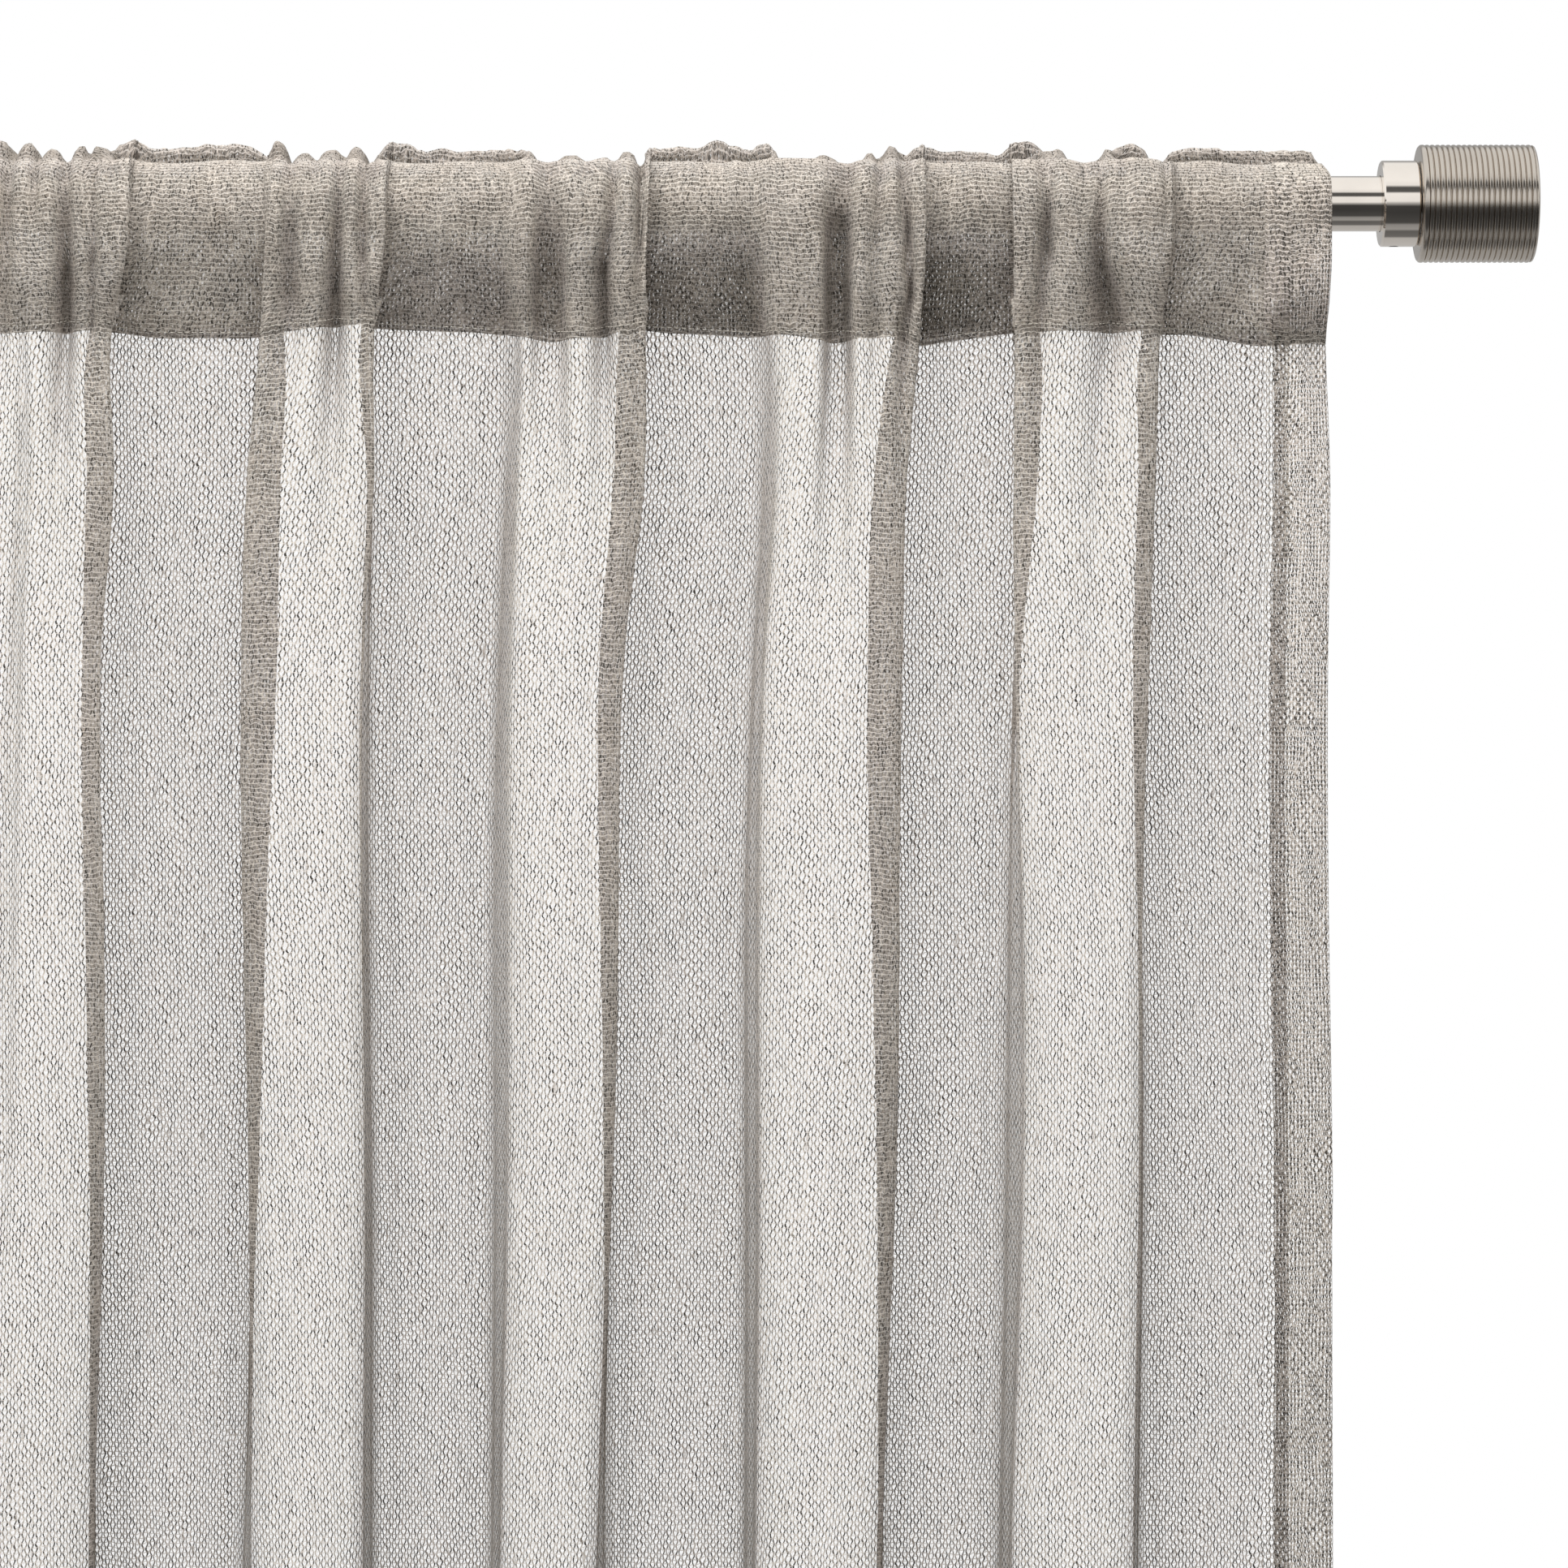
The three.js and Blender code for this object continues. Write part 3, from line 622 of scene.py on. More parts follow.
def sideways(points):
    """How much denser the weave looks at each point than it does face on, as extra thicknesses of
    cloth: yarns have depth, so the sides of a fold show fewer holes than its front."""
    facing = np.abs(grid_normals(points)[:, :, 1])
    return np.clip(1 / np.maximum(facing, 0.2) - 1, 0, 2.5)


def painted_hem_light(design, points):
    """Painted light and shade on a turned hem: lighter below the pocket, painted in for the light that
    also comes through it there, and duller along its stitched edge."""
    d, z = points[:, :, 0], points[:, :, 2]
    from_side = np.minimum(d, PANEL_WIDTH - d)
    stitched = ease((from_side - HEM_WIDTH + HEM_TURNING) / 2)
    drop = mix(1.12, 1.42, ease((z + 700) / 640)) * (1 - 0.36 * stitched)
    pocket = mix(1.1, 1.22, ease((-8 - z) / 30))
    pocket = pocket * painted_cloth_light(design, points, np.zeros(z.shape))
    return mix(pocket, drop, ease((SEAM_LEVEL - z) / 6))


def painted_cloth_light(design, points, share):
    """Painted light and shade on the yarns at each point: lighter on the folds that stand forward,
    painted shade in the hollows of the pocket, down its pleats and on the rolled edge behind its crown."""
    d, f, z = (points[:, :, k] for k in range(3))
    share = np.clip(share, 0, 1)
    in_pocket = ease((z - SEAM_LEVEL) / 6)
    gloom = np.interp(d, *np.array(sorted(design["gloom"]), float).T)
    # painted shade in the lower part of the pocket's hollows
    hollow = (1 - ease(share / 0.7)) * ease((2 - z) / 40) * gloom
    # painted shade down the pleats of the folds
    pleats = np.clip(crease_depth(design, d, z) / 11, -0.15, 1) * on_fold(share)
    above = ease((z - CROWN + 0.8) / 1.2)
    lifted = lifted_share(design, d)
    # painted shade on the rolled edge behind the crown
    rolled = above * ease((2.2 - f) / 1.5) * (1 - lifted)
    # painted shadow in the groove between the crown and the rolled edge
    gap = np.exp(-((f + 0.4) ** 2)) * ease((23.5 - z) / 2) * ease((z - 14) / 2)
    pocket = (1 - hollow) * (1 - 0.45 * pleats) * (1 - 0.08 * rolled) * (1 - 0.5 * gap)
    # painted shade on the gathers above the crown, and over the pocket's upper part
    pocket = pocket * (1 - 0.25 * above * lifted) * (1 - 0.2 * ease((z - 4) / 10))
    # painted light on the folds that stand forward, more of it lower down
    forward = ease((share - 0.5) / 0.45) * mix(0.25, 0.55, ease((-70 - z) / 150))
    # painted shade where the cloth turns at a fold's edge
    height, deepest, reach = np.array(TURNED, float).T
    from_edge = fold_edge_distance(design, d, z) / np.interp(-z, -height, reach)
    turned = np.interp(-z, -height, deepest) * np.exp(-from_edge)
    drop = (0.86 + forward) * (1 - 0.35 * pleats) * (1 - turned)
    return mix(drop, 1.22 * pocket, in_pocket)


# ---- meshes


def placed(points, side):
    """Panel terms (d, f, z) in millimetres to the row frame in metres."""
    sign = 1 if side == "right" else -1
    out = np.empty((*points.shape[:-1], 3))
    out[..., 0] = sign * (PANEL_OUTER - points[..., 0] * MM)
    out[..., 1] = ROD_Y - points[..., 1] * MM
    out[..., 2] = ROD_Z + points[..., 2] * MM
    return out


def add_object(name, data):
    piece = bpy.data.objects.new(name, data)
    bpy.context.scene.collection.objects.link(piece)
    return piece


def mesh_object(name, points, faces, material, smooth=True):
    mesh = bpy.data.meshes.new(name)
    mesh.from_pydata(points.reshape(-1, 3).tolist(), [], faces.tolist())
    mesh.polygons.foreach_set("use_smooth", [smooth] * len(mesh.polygons))
    mesh.materials.append(material)
    mesh.update()
    return add_object(name, mesh)


def grid_faces(rows, cols, round_cols=False):
    """The faces between a grid's points, joined into a tube if its columns go round."""
    c = np.arange(cols if round_cols else cols - 1)
    r, c = np.meshgrid(np.arange(rows - 1), c, indexing="ij")
    r2, c2 = r + 1, (c + 1) % cols
    corners = [r * cols + c, r * cols + c2, r2 * cols + c2, r2 * cols + c]
    return np.stack(corners, axis=-1).reshape(-1, 4)


def cloth_piece(name, points, side, run, shade, material):
    """A grid of cloth with the flat cloth's own coordinates as its UV map, in metres."""
    rows, cols = points.shape[:2]
    faces = grid_faces(rows, cols)
    piece = mesh_object(name, placed(points, side), faces, material)
    across = lengths_along(points[rows_for_width(points)], 1)
    u = np.broadcast_to(across[None, :] * MM, (rows, cols)).ravel()
    v = np.broadcast_to(run[:, None] * MM, (rows, cols)).ravel()
    layer = piece.data.uv_layers.new(name="flat_cloth")
    corner = faces.ravel()
    layer.data.foreach_set("uv", np.stack([u[corner], v[corner]], axis=1).ravel())
    # the painted light and shade, and the weave's density, go on the mesh as attributes
    for label, values in (("painted_light", shade), ("dense", sideways(points))):
        attribute = piece.data.attributes.new(label, "FLOAT", "POINT")
        attribute.data.foreach_set("value", values.astype(np.float32).ravel())
    return piece


def rows_for_width(points):
    """Rows of the free drop, where the cloth's width is measured."""
    level = points[:, :, 2].mean(axis=1)
    return np.where((level < -120) & (level > -900))[0]


def stitches(name, line, outward, side, material, length=2.2, gap=1.1, thick=0.42):
    """A row of sewing stitches along a line of panel points, each a short bowed strand."""
    steps = np.linalg.norm(np.diff(line[:, :3], axis=0), axis=1)
    run = np.concatenate([[0], np.cumsum(steps)])
    starts = np.arange(gap, run[-1] - length, length + gap)
    rings, sides = 4, 5
    at = starts[:, None] + np.linspace(0, length, rings)[None, :]

    def along(values):
        return np.stack([np.interp(at, run, values[:, k]) for k in range(3)], axis=2)

    centre_line, out = along(line), along(outward)
    bow = np.array([-0.25, 0.28, 0.28, -0.25])[None, :, None]
    centre_line = centre_line + out * (bow + 0.15)
    tangent = np.gradient(centre_line, axis=1)
    tangent /= np.linalg.norm(tangent, axis=2, keepdims=True)
    beside = np.cross(tangent, out)
    radius = thick / 2 * np.array([0.55, 1, 1, 0.55])[None, :, None]
    turn = np.linspace(0, 2 * np.pi, sides, endpoint=False)
    ring = [centre_line + radius * (math.cos(a) * out + math.sin(a) * beside) for a in turn]
    points = np.stack(ring, axis=2)
    one = grid_faces(rings, sides, round_cols=True)
    faces = (np.arange(len(starts))[:, None, None] * rings * sides + one[None]).reshape(-1, 4)
    return mesh_object(name, placed(points, side), faces, material)


# ---- node helpers


class Nodes:
    """A material or a world, with short names for the shader nodes used below."""

    def __init__(self, owner, output="ShaderNodeOutputMaterial"):
        self.owner = owner
        owner.use_nodes = True
        self.tree = owner.node_tree
        self.tree.nodes.clear()
        self.output = self.tree.nodes.new(output)

    def node(self, kind, **settings):
        made = self.tree.nodes.new(kind)
        for key, value in settings.items():
            setattr(made, key, value)
        return made

    def link(self, source, socket):
        self.tree.links.new(source, socket)

    def feed(self, socket, value):
        if isinstance(value, bpy.types.NodeSocket):
            self.link(value, socket)
        else:
            socket.default_value = value

    def fed(self, kind, *values, **settings):
        """The first output of a new node, with values for its first inputs."""
        made = self.node(kind, **settings)
        for socket, value in zip(made.inputs, values):
            self.feed(socket, value)
        return made.outputs[0]

    def math(self, operation, a, b=0.0, c=0.0, clamp=False):
        return self.fed("ShaderNodeMath", a, b, c, operation=operation, use_clamp=clamp)

    def scaled(self, a, b, added, clamp=False):
        return self.math("MULTIPLY_ADD", a, b, added, clamp=clamp)

    def times(self, a, b, clamp=False):
        return self.math("MULTIPLY", a, b, clamp=clamp)

    def minus(self, a, b):
        return self.math("SUBTRACT", a, b)

    def noise(self, vector, scale, detail, dimensions="3D"):
        made = self.node("ShaderNodeTexNoise", noise_dimensions=dimensions)
        self.link(vector, made.inputs["Vector"])
        made.inputs["Scale"].default_value = scale
        made.inputs["Detail"].default_value = detail
        return made.outputs["Fac"]

    def ramp(self, factor, stops):
        made = self.node("ShaderNodeValToRGB")
        elements = made.color_ramp.elements
        while len(elements) < len(stops):
            elements.new(0.5)
        for element, (position, colour) in zip(elements, stops):
            element.position = position
            element.color = (*colour, 1)
        self.link(factor, made.inputs[0])
        return made.outputs[0]

    def object_place(self):
        return self.node("ShaderNodeTexCoord").outputs["Object"]

    def flat_noise(self, u, v, u_scale, v_scale, detail=1.0):
        """Noise over the flat cloth, with a scale of its own each way."""
        place = self.fed("ShaderNodeCombineXYZ", self.times(u, u_scale), self.times(v, v_scale))
        return self.noise(place, 1.0, detail, "2D")

    def blend(self, factor, a, b, kind="MIX"):
        made = self.node("ShaderNodeMix", data_type="RGBA", blend_type=kind)
        self.feed(made.inputs["Factor"], factor)
        self.feed(made.inputs["A"], a if isinstance(a, bpy.types.NodeSocket) else (*a, 1))
        self.feed(made.inputs["B"], b if isinstance(b, bpy.types.NodeSocket) else (*b, 1))
        return made.outputs["Result"]

    def mixed(self, share, a, b):
        """Some of shader a, and a share of shader b."""
        return self.fed("ShaderNodeMixShader", share, a, b)

    def principled(self, colour, roughness):
        made = self.node("ShaderNodeBsdfPrincipled")
        self.link(colour, made.inputs["Base Color"])
        self.feed(made.inputs["Roughness"], roughness)
        return made

    def surface(self, shader):
        """Put the shader on the material, and give the material back."""
        self.link(shader, self.output.inputs[0])
        return self.owner

    def band(self, distance, half, soft):
        """1 nearer than half, 0 further, with a soft edge."""
        edge = self.minus(half, distance)
        return self.scaled(edge, 1 / soft, 0.5, clamp=True)


# ---- cloth materials

WALE_PITCH = 1.62  # between the lengthwise yarns, in millimetres
LENS_LENGTH = 4.34  # from one meeting of two neighbouring yarns to the next on the same pair
SWING = 0.21  # how far a lengthwise yarn swings, in wale pitches
WALE_HALF = 0.32  # half a lengthwise yarn's thickness
WEFT_HALF = 0.20  # half a crosswise yarn's
TRANSLUCENCE = 0.27  # the share of light that goes through a yarn


def cloth_material(name, haze):
    """Open weave: lengthwise yarns that swing towards each neighbour in turn, with a fine cream
    yarn crossing at each meeting and loose fibres in the holes."""
    n = Nodes(bpy.data.materials.new(name))
    flat = n.node("ShaderNodeUVMap", uv_map="flat_cloth").outputs[0]
    parts = n.node("ShaderNodeSeparateXYZ")
    n.link(flat, parts.inputs[0])
    u = n.times(parts.outputs[0], 1000.0)
    v = n.times(parts.outputs[1], 1000.0)

    wander = n.flat_noise(u, v, 0.06, 0.03, 2.0)
    drift = n.flat_noise(u, v, 0.33, 0.14)
    u = n.scaled(wander, 3.0, u)
    u = n.scaled(drift, 0.5, u)
    v = n.scaled(drift, 1.4, n.scaled(wander, 4.5, v))

    cell = n.math("DIVIDE", u, WALE_PITCH)
    index = n.math("FLOOR", cell)
    inside = n.minus(n.minus(cell, index), 0.5)
    odd = n.times(n.math("FRACT", n.times(index, 0.5)), 2.0)
    turn = n.scaled(v, 2 * math.pi / LENS_LENGTH, n.times(odd, math.pi))
    long_run = n.flat_noise(index, v, 5.31, 0.07)
    short_run = n.flat_noise(index, v, 3.17, 0.42)
    melange = n.math("ADD", n.times(long_run, 0.3), n.times(short_run, 0.7))
    swing = n.times(n.math("SINE", turn), SWING)
    off_wale = n.times(n.math("ABSOLUTE", n.minus(inside, swing)), WALE_PITCH)
    thickness = n.flat_noise(index, v, 7.7, 0.25)
    wale_half = n.scaled(thickness, 0.22, WALE_HALF - 0.11)
    wale = n.band(off_wale, wale_half, 0.22)

    weft_cell = n.scaled(v, 2 / LENS_LENGTH, 0.25)
    ripple = n.times(n.math("SINE", n.times(cell, math.pi)), 0.05)
    weft_place = n.math("FRACT", n.math("ADD", weft_cell, ripple))
    off_weft = n.times(n.math("ABSOLUTE", n.minus(weft_place, 0.5)), 2.17)
    weft = n.times(n.band(off_weft, WEFT_HALF, 0.14), 0.78)

    fibres = n.flat_noise(u, v, 1.1, 0.8, 2.0)
    streak = n.flat_noise(u, v, 0.42, 0.09)
    thick_spot = n.times(n.minus(streak, 0.70), 10.0, clamp=True)
    fuzz = n.scaled(n.minus(fibres, 0.5), 0.9, haze)
    fuzz = n.scaled(thick_spot, 0.35, fuzz, clamp=True)

    wales = [
        (0.38, (0.045, 0.040, 0.034)), (0.45, (0.145, 0.128, 0.110)),
        (0.51, (0.310, 0.277, 0.242)), (0.58, (0.490, 0.440, 0.388)),
        (0.66, (0.680, 0.620, 0.555)),
    ]
    wale_colour = n.ramp(melange, wales)
    slub = n.flat_noise(u, v, 0.05, 0.05, 2.0)
    warm = n.ramp(slub, [(0.35, (0.62, 0.59, 0.552)), (0.68, (0.60, 0.548, 0.488))])
    warm = n.blend(n.times(thick_spot, 0.6), warm, (0.30, 0.24, 0.175))
    colour = n.blend(wale, warm, wale_colour)
    over = n.times(weft, n.scaled(wale, -0.35, 1.0))
    colour = n.blend(over, colour, (0.84, 0.79, 0.73))

    # painted light and shade, carried on the mesh: it scales the yarns' brightness
    painted_light = n.node("ShaderNodeAttribute", attribute_name="painted_light").outputs["Fac"]
    open_weft = n.minus(1.0, weft)
    # the lengthwise yarns hold back most of the painted light past 1
    held_back = n.times(n.times(wale, open_weft), 0.75)
    past_one = n.math("MAXIMUM", n.minus(painted_light, 1.0), 0.0)
    painted_light = n.minus(painted_light, n.times(held_back, past_one))
    # the painted light also tints the yarns, warmer where it is darkest
    casts = [
        (0.2, (1.0, 0.955, 0.88)), (0.57, (1.0, 0.98, 0.98)),
        (0.73, (1.0, 1.0, 0.98)), (1, (0.99, 0.975, 1.0)),
    ]
    cast = n.ramp(n.math("DIVIDE", painted_light, 1.5), casts)
    bright = n.node("ShaderNodeHueSaturation")
    n.link(n.blend(1.0, colour, cast, "MULTIPLY"), bright.inputs["Color"])
    n.link(painted_light, bright.inputs["Value"])
    yarn_colour = bright.outputs[0]

    open_wale = n.minus(1.0, wale)
    open_fuzz = n.minus(1.0, fuzz)
    open_share = n.times(n.times(open_wale, open_weft), open_fuzz)
    dense = n.node("ShaderNodeAttribute", attribute_name="dense").outputs["Fac"]
    open_share = n.times(open_share, n.math("POWER", 0.5, dense))

    front = n.principled(yarn_colour, 0.92)
    front.inputs["Specular IOR Level"].default_value = 0.1
    through = n.node("ShaderNodeBsdfTranslucent")
    n.link(n.blend(1.0, yarn_colour, (1.0, 0.96, 0.95), "MULTIPLY"), through.inputs[0])
    yarn = n.mixed(TRANSLUCENCE, front.outputs[0], through.outputs[0])
    hole = n.node("ShaderNodeBsdfTransparent")
    return n.surface(n.mixed(open_share, yarn, hole.outputs[0]))


def thread_material():
    n = Nodes(bpy.data.materials.new("sewing_thread"))
    place = n.object_place()
    twist = n.noise(place, 900.0, 2.0)
    colour = n.ramp(twist, [(0.35, (0.40, 0.37, 0.32)), (0.65, (0.74, 0.70, 0.62))])
    return n.surface(n.principled(colour, 0.7).outputs[0])


# ---- metal and plastic


def nickel(name, colour, roughness, spread, grain_scale, grain_depth):
    """Plated steel: fine turning lines round the part, faint cloudiness and handling marks."""
    n = Nodes(bpy.data.materials.new(name))
    place = n.object_place()
    stretch = n.node("ShaderNodeMapping")
    stretch.inputs["Scale"].default_value = (grain_scale, grain_scale * 0.02, grain_scale * 0.02)
    n.link(place, stretch.inputs["Vector"])
    lines = n.noise(stretch.outputs[0], 1.0, 3.0)
    clouds = n.noise(place, 38.0, 3.0)
    dark = tuple(c * 0.93 for c in colour)
    tone = n.ramp(clouds, [(0.35, dark), (0.65, colour)])
    rough = n.scaled(lines, spread, roughness - spread * 0.5)
    shader = n.principled(tone, n.scaled(clouds, spread * 0.6, rough))
    shader.inputs["Metallic"].default_value = 1.0
    bump = n.node("ShaderNodeBump")
    bump.inputs["Strength"].default_value = grain_depth
    bump.inputs["Distance"].default_value = 0.0001
    n.link(lines, bump.inputs["Height"])
    n.link(bump.outputs[0], shader.inputs["Normal"])
    return n.surface(shader.outputs[0])


def plastic():
    n = Nodes(bpy.data.materials.new("lining_plastic"))
    place = n.object_place()
    speck = n.noise(place, 400.0, 3.0)
    tone = n.ramp(speck, [(0.3, (0.60, 0.585, 0.55)), (0.7, (0.72, 0.70, 0.665))])
    return n.surface(n.principled(tone, n.scaled(speck, 0.2, 0.38)).outputs[0])


# ---- metal pieces


def lathe(name, profile, x, sign, segments, material):
    """A closed profile of (distance along X, radius) in millimetres turned round the rod's axis."""
    profile = np.array(profile, float) * MM
    turn = np.linspace(0, 2 * np.pi, segments, endpoint=False)
    points = np.empty((len(profile), segments, 3))
    points[..., 0] = x + sign * profile[:, 0][:, None]
    points[..., 1] = ROD_Y + profile[:, 1][:, None] * np.cos(turn)[None, :] * sign
    points[..., 2] = ROD_Z + profile[:, 1][:, None] * np.sin(turn)[None, :]
    faces = grid_faces(len(profile), segments, round_cols=True)
    return mesh_object(name, points, faces[:, ::-1], material)


# One rib of the cap: how far along it is, and how much of the way out of the groove.
RIB = ((0.12, 0.45), (0.22, 0.8), (0.38, 0.97), (0.55, 1), (0.72, 0.97), (0.86, 0.8), (0.95, 0.4))


def cap_profile(length, radius):
    """A drum with a plain band at its inner end and twenty rounded ribs cut by fine grooves."""
    ribs, groove, edge, bore, depth = 20, 1.1, 1.1, 4.3, 22.5
    band, rim = 2.6, 1.4
    pitch = (length - band - rim) / ribs
    points = [(depth, 0.02), (depth, bore), (0.4, bore), (0.0, bore + 0.4)]
    points += [(0.0, radius - edge - 0.25), (0.12, radius - edge + 0.25)]
    points += [(edge * 0.75, radius - 0.12), (edge * 1.3, radius)]
    points += [(band - 0.5, radius), (band - 0.1, radius - 0.15)]
    for rib in range(ribs):
        start = band + rib * pitch
        points += [(start, radius - groove), (start + 0.12, radius - groove)]
        points += [(start + share * pitch, radius - groove * (1 - out)) for share, out in RIB]
    points += [(length - rim, radius - groove), (length - 1.25, radius - groove)]
    points += [(length - 1.2, radius - 0.35), (length - 0.85, radius - 0.2)]
    points += [(length - 0.3, radius - 0.55), (length, radius - 1.3), (length, 0.02)]
    return points


def finish_node(node, material):
    """A CAD node in its material, with its curved faces smooth and its corners kept."""
    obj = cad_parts[node]
    obj.data.materials.clear()
    obj.data.materials.append(material)
    if "custom_normal" in obj.data.attributes:
        obj.data.attributes.remove(obj.data.attributes["custom_normal"])
    obj.data.polygons.foreach_set("use_smooth", [True] * len(obj.data.polygons))
    obj.modifiers.new("weld", "WELD").merge_threshold = 1e-6
    obj.modifiers.new("edges", "EDGE_SPLIT").split_angle = math.radians(32)


# ---- camera, light and floor


def camera():
    """Level, square to the wall, on the upper outer corner of the right-hand panel."""
    data = bpy.data.cameras.new("camera")
    cam = add_object("camera", data)
    distance, frame_width = 2.45, 0.7216
    inward, below = 0.2517, 0.267
    cam.location = (PANEL_OUTER - inward, ROD_Y - distance, ROD_Z - below)
    cam.rotation_euler = (math.pi / 2, 0, 0)
    data.sensor_width = 36
    data.lens = 36 * distance / frame_width
    data.clip_start, data.clip_end = 0.05, 60
    bpy.context.scene.camera = cam


# What polished metal mirrors, by the angle above straight ahead as the object faces it, in
# degrees, and how bright it is there. 90 is overhead and beyond it is behind the object.
STUDIO = [
    (-180, 0.55), (-150, 0.50), (-112, 0.46), (-104, 0.15), (-84, 0.12), (-78, 0.33), (-64, 0.27),
    (-58, 0.07), (-30, 0.045), (-12, 0.05), (-4, 0.45), (1, 0.88), (22, 0.92), (26, 0.10),
    (39, 0.09), (45, 0.86), (60, 0.97), (132, 0.93), (146, 0.40), (180, 0.45),
]


def studio_light():
    """White to the camera, soft light from above and in front for cloth, and striped soft boxes
    for metal to mirror."""
    scene = bpy.context.scene
    scene.view_settings.view_transform = "Standard"
    scene.cycles.transparent_max_bounces = 48
    scene.cycles.max_bounces = 6
    scene.world = bpy.data.worlds.new("studio")
    n = Nodes(scene.world, "ShaderNodeOutputWorld")

    where = n.node("ShaderNodeSeparateXYZ")
    n.link(n.node("ShaderNodeTexCoord").outputs["Generated"], where.inputs[0])
    _, y, z = where.outputs
    toward = n.times(y, -1.0)
    angle = n.scaled(n.math("ARCTAN2", z, toward), 0.5 / math.pi, 0.5)
    stops = [((degrees + 180) / 360, (level, level, level)) for degrees, level in STUDIO]
    stripes = n.ramp(angle, stops)

    soft = n.scaled(z, 0.45, 0.22)
    behind = n.times(n.math("MAXIMUM", y, 0.0), 0.35)
    soft = n.math("MAXIMUM", n.math("ADD", soft, behind), 0.05)

    path = n.node("ShaderNodeLightPath")
    lit = n.node("ShaderNodeMix", data_type="FLOAT")
    n.link(path.outputs["Is Glossy Ray"], lit.inputs["Factor"])
    n.link(soft, lit.inputs["A"])
    n.link(stripes, lit.inputs["B"])
    seen = n.node("ShaderNodeMix", data_type="FLOAT")
    n.link(path.outputs["Is Camera Ray"], seen.inputs["Factor"])
    n.link(lit.outputs[0], seen.inputs["A"])
    seen.inputs["B"].default_value = 1.0
    background = n.node("ShaderNodeBackground")
    n.link(seen.outputs[0], background.inputs["Color"])
    n.link(background.outputs[0], n.output.inputs[0])

    data = bpy.data.lights.new("soft_box", "AREA")
    data.shape, data.size, data.size_y, data.energy = "RECTANGLE", 1.8, 0.9, 48
    lamp = add_object("soft_box", data)
    lamp.location = (0.15, ROD_Y - 0.78, ROD_Z + 1.28)
    lamp.rotation_euler = (math.radians(30), 0, 0)
    lamp.visible_glossy = False


def floor():
    low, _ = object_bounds()
    n = Nodes(bpy.data.materials.new("floor"))
    place = n.object_place()
    cloudy = n.noise(place, 3.0, 3.0)
    tone = n.ramp(cloudy, [(0.3, (0.80, 0.80, 0.795)), (0.7, (0.84, 0.84, 0.835))])
    material = n.surface(n.principled(tone, 0.85).outputs[0])
    half = 2.6
    corners = np.array([(-half, -half, 0), (half, -half, 0), (half, half, 0), (-half, half, 0)])
    corners[:, 2] = low.z - 0.012
    ground = mesh_object("floor", corners, np.array([[0, 1, 2, 3]]), material, smooth=False)
    ground.visible_glossy = False
    ground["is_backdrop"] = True


# ---- dressing the frame


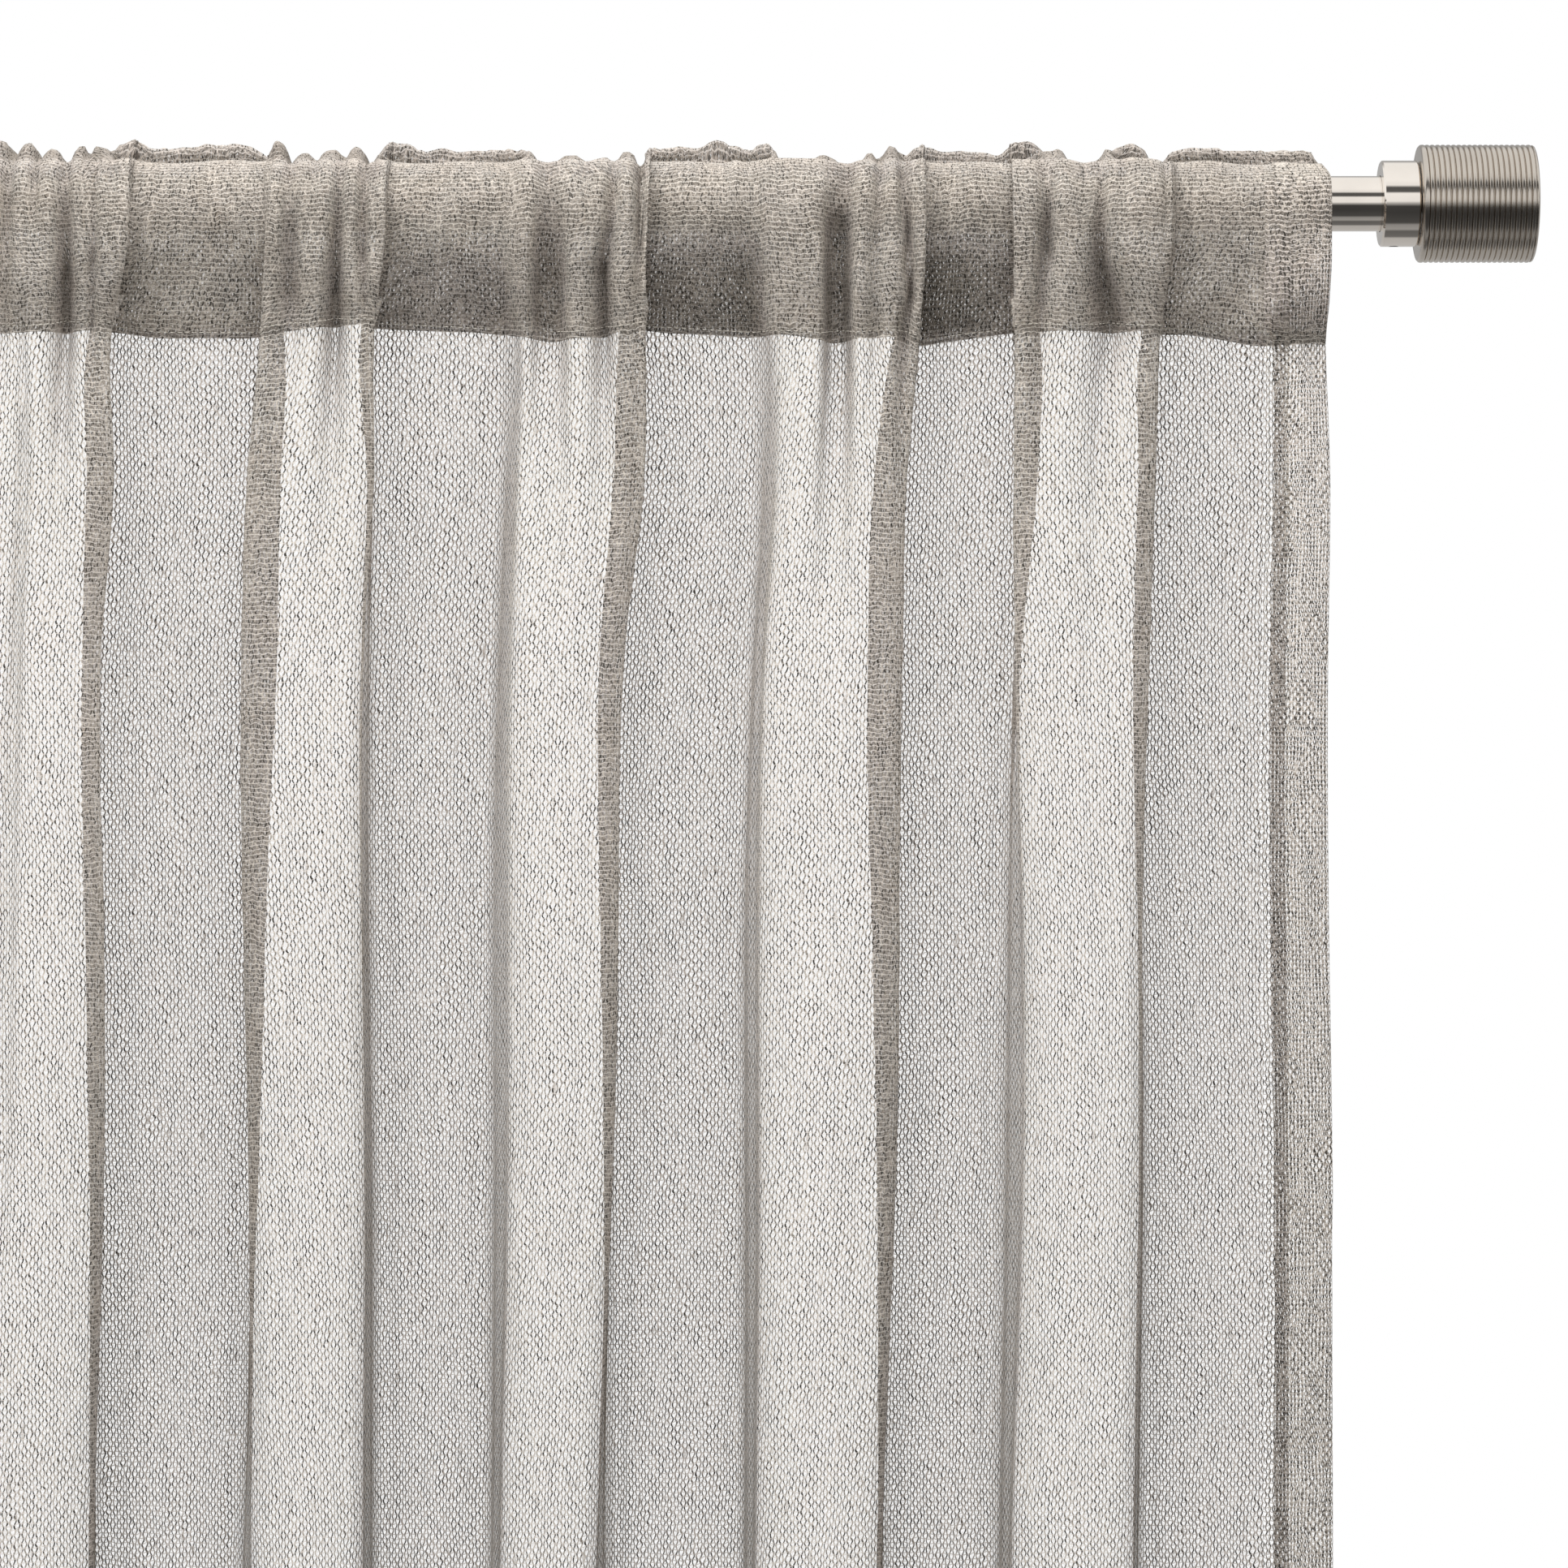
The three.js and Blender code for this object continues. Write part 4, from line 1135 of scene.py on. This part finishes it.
def dress_panel(side, design, seed, cloth, hem_cloth, thread):
    panel = build_panel_grid(design, seed)
    full = build_layers(panel)
    run, a, b = panel["run"], panel["outer_hem"], panel["leading_hem"]

    # painted light and shade for the panel's cloth
    painted_light = painted_cloth_light(design, full, full[:, :, 3])
    middle = full[:, a : b + 1]
    shade = painted_light[:, a : b + 1]
    cloth_obj = cloth_piece(f"{side}_curtain_panel", middle, side, run, shade, cloth)
    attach(cloth_obj, "rod")
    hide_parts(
        *[f"{side}_{part}" for part in ("rod_pocket", "heading_lip", "panel_cloth", "bottom_hem")],
    )

    for part, body, columns in (
        ("outer_hem", "rod", full[:, : a + 1]),
        ("leading_hem", f"{side}_leading_edge", full[:, b:][:, ::-1]),
    ):
        normal = grid_normals(columns) * (1 if part == "outer_hem" else -1)
        from_side = np.minimum(columns[-1, :, 0], PANEL_WIDTH - columns[-1, :, 0])
        turning = int(np.argmax(from_side > HEM_WIDTH - HEM_TURNING))
        behind = (columns - normal * HEM_GAP)[:, -3::-1]
        inside = (columns - normal * 2 * HEM_GAP)[:, turning:-2]
        turned = np.concatenate([inside, behind, columns], axis=1)
        # painted light and shade for the hem
        shade = painted_hem_light(design, turned)
        hem = cloth_piece(f"{side}_curtain_{part}", turned, side, run, shade, hem_cloth)
        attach(hem, body)
        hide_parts(f"{side}_{part}")

    # sewing
    outer = panel["grid"]
    normal = grid_normals(outer)
    first = panel["pocket_rows"]
    drop = slice(first, outer.shape[0])
    hem_line = int(np.argmin(np.abs(outer[:, :, 2].mean(axis=1) - (BOTTOM + BOTTOM_HEM - 3))))
    between = slice(a + 1, b)
    rows_of = {
        "pocket_stitching": ((first - 2, between), "rod"),
        "bottom_hem_stitching": ((hem_line, between), "rod"),
        "outer_hem_stitching": ((drop, a - 1), "rod"),
        "leading_hem_stitching": ((drop, b + 1), f"{side}_leading_edge"),
    }
    for part, (line, body) in rows_of.items():
        row = stitches(f"{side}_{part}_row", outer[line], normal[line], side, thread)
        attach(row, body)
        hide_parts(f"{side}_{part}")
        if part in ("pocket_stitching", "bottom_hem_stitching"):
            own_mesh(row)

    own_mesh(cloth_obj)


def dress_metal():
    polished = nickel("polished_nickel", (0.93, 0.865, 0.79), 0.05, 0.03, 300, 0.02)
    satin = nickel("satin_nickel", (0.64, 0.585, 0.52), 0.17, 0.06, 900, 0.12)
    steel = nickel("screw_steel", (0.62, 0.61, 0.60), 0.34, 0.12, 700, 0.2)
    white = plastic()
    for node in ("rod_outer_tube", "rod_inner_tube"):
        finish_node(node, polished)
    for node in ("rod_liner_sleeve", "left_adapter_sleeve"):
        finish_node(node, white)
    for side, sign in (("right", 1), ("left", -1)):
        for part in ("finial_collar", "bracket_plate", "bracket_arm", "bracket_cup"):
            finish_node(f"{side}_{part}", polished)
        finish_node(f"{side}_finial_stud", steel)
        for screw in ("collar_set", "clamp", "arm_grub", "upper_wall", "lower_wall"):
            finish_node(f"{side}_{screw}_screw", steel)
        low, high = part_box(f"{side}_finial_cap")
        x = low.x if sign > 0 else high.x
        profile = cap_profile((high.x - low.x) / MM, (high.z - low.z) / 2 / MM)
        cap = lathe(f"{side}_ribbed_cap", profile, x, sign, 128, satin)
        cap.modifiers.new("edges", "EDGE_SPLIT").split_angle = math.radians(50)
        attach(cap, f"{side}_cap")
        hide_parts(f"{side}_finial_cap")


camera()
studio_light()
dress_metal()
open_weave = cloth_material("open_weave", 0.19)
hem_weave = cloth_material("hem_weave", 0.05)
thread = thread_material()
dress_panel("right", RIGHT_DESIGN, 11, open_weave, hem_weave, thread)
dress_panel("left", mirrored(RIGHT_DESIGN), 29, open_weave, hem_weave, thread)
floor()
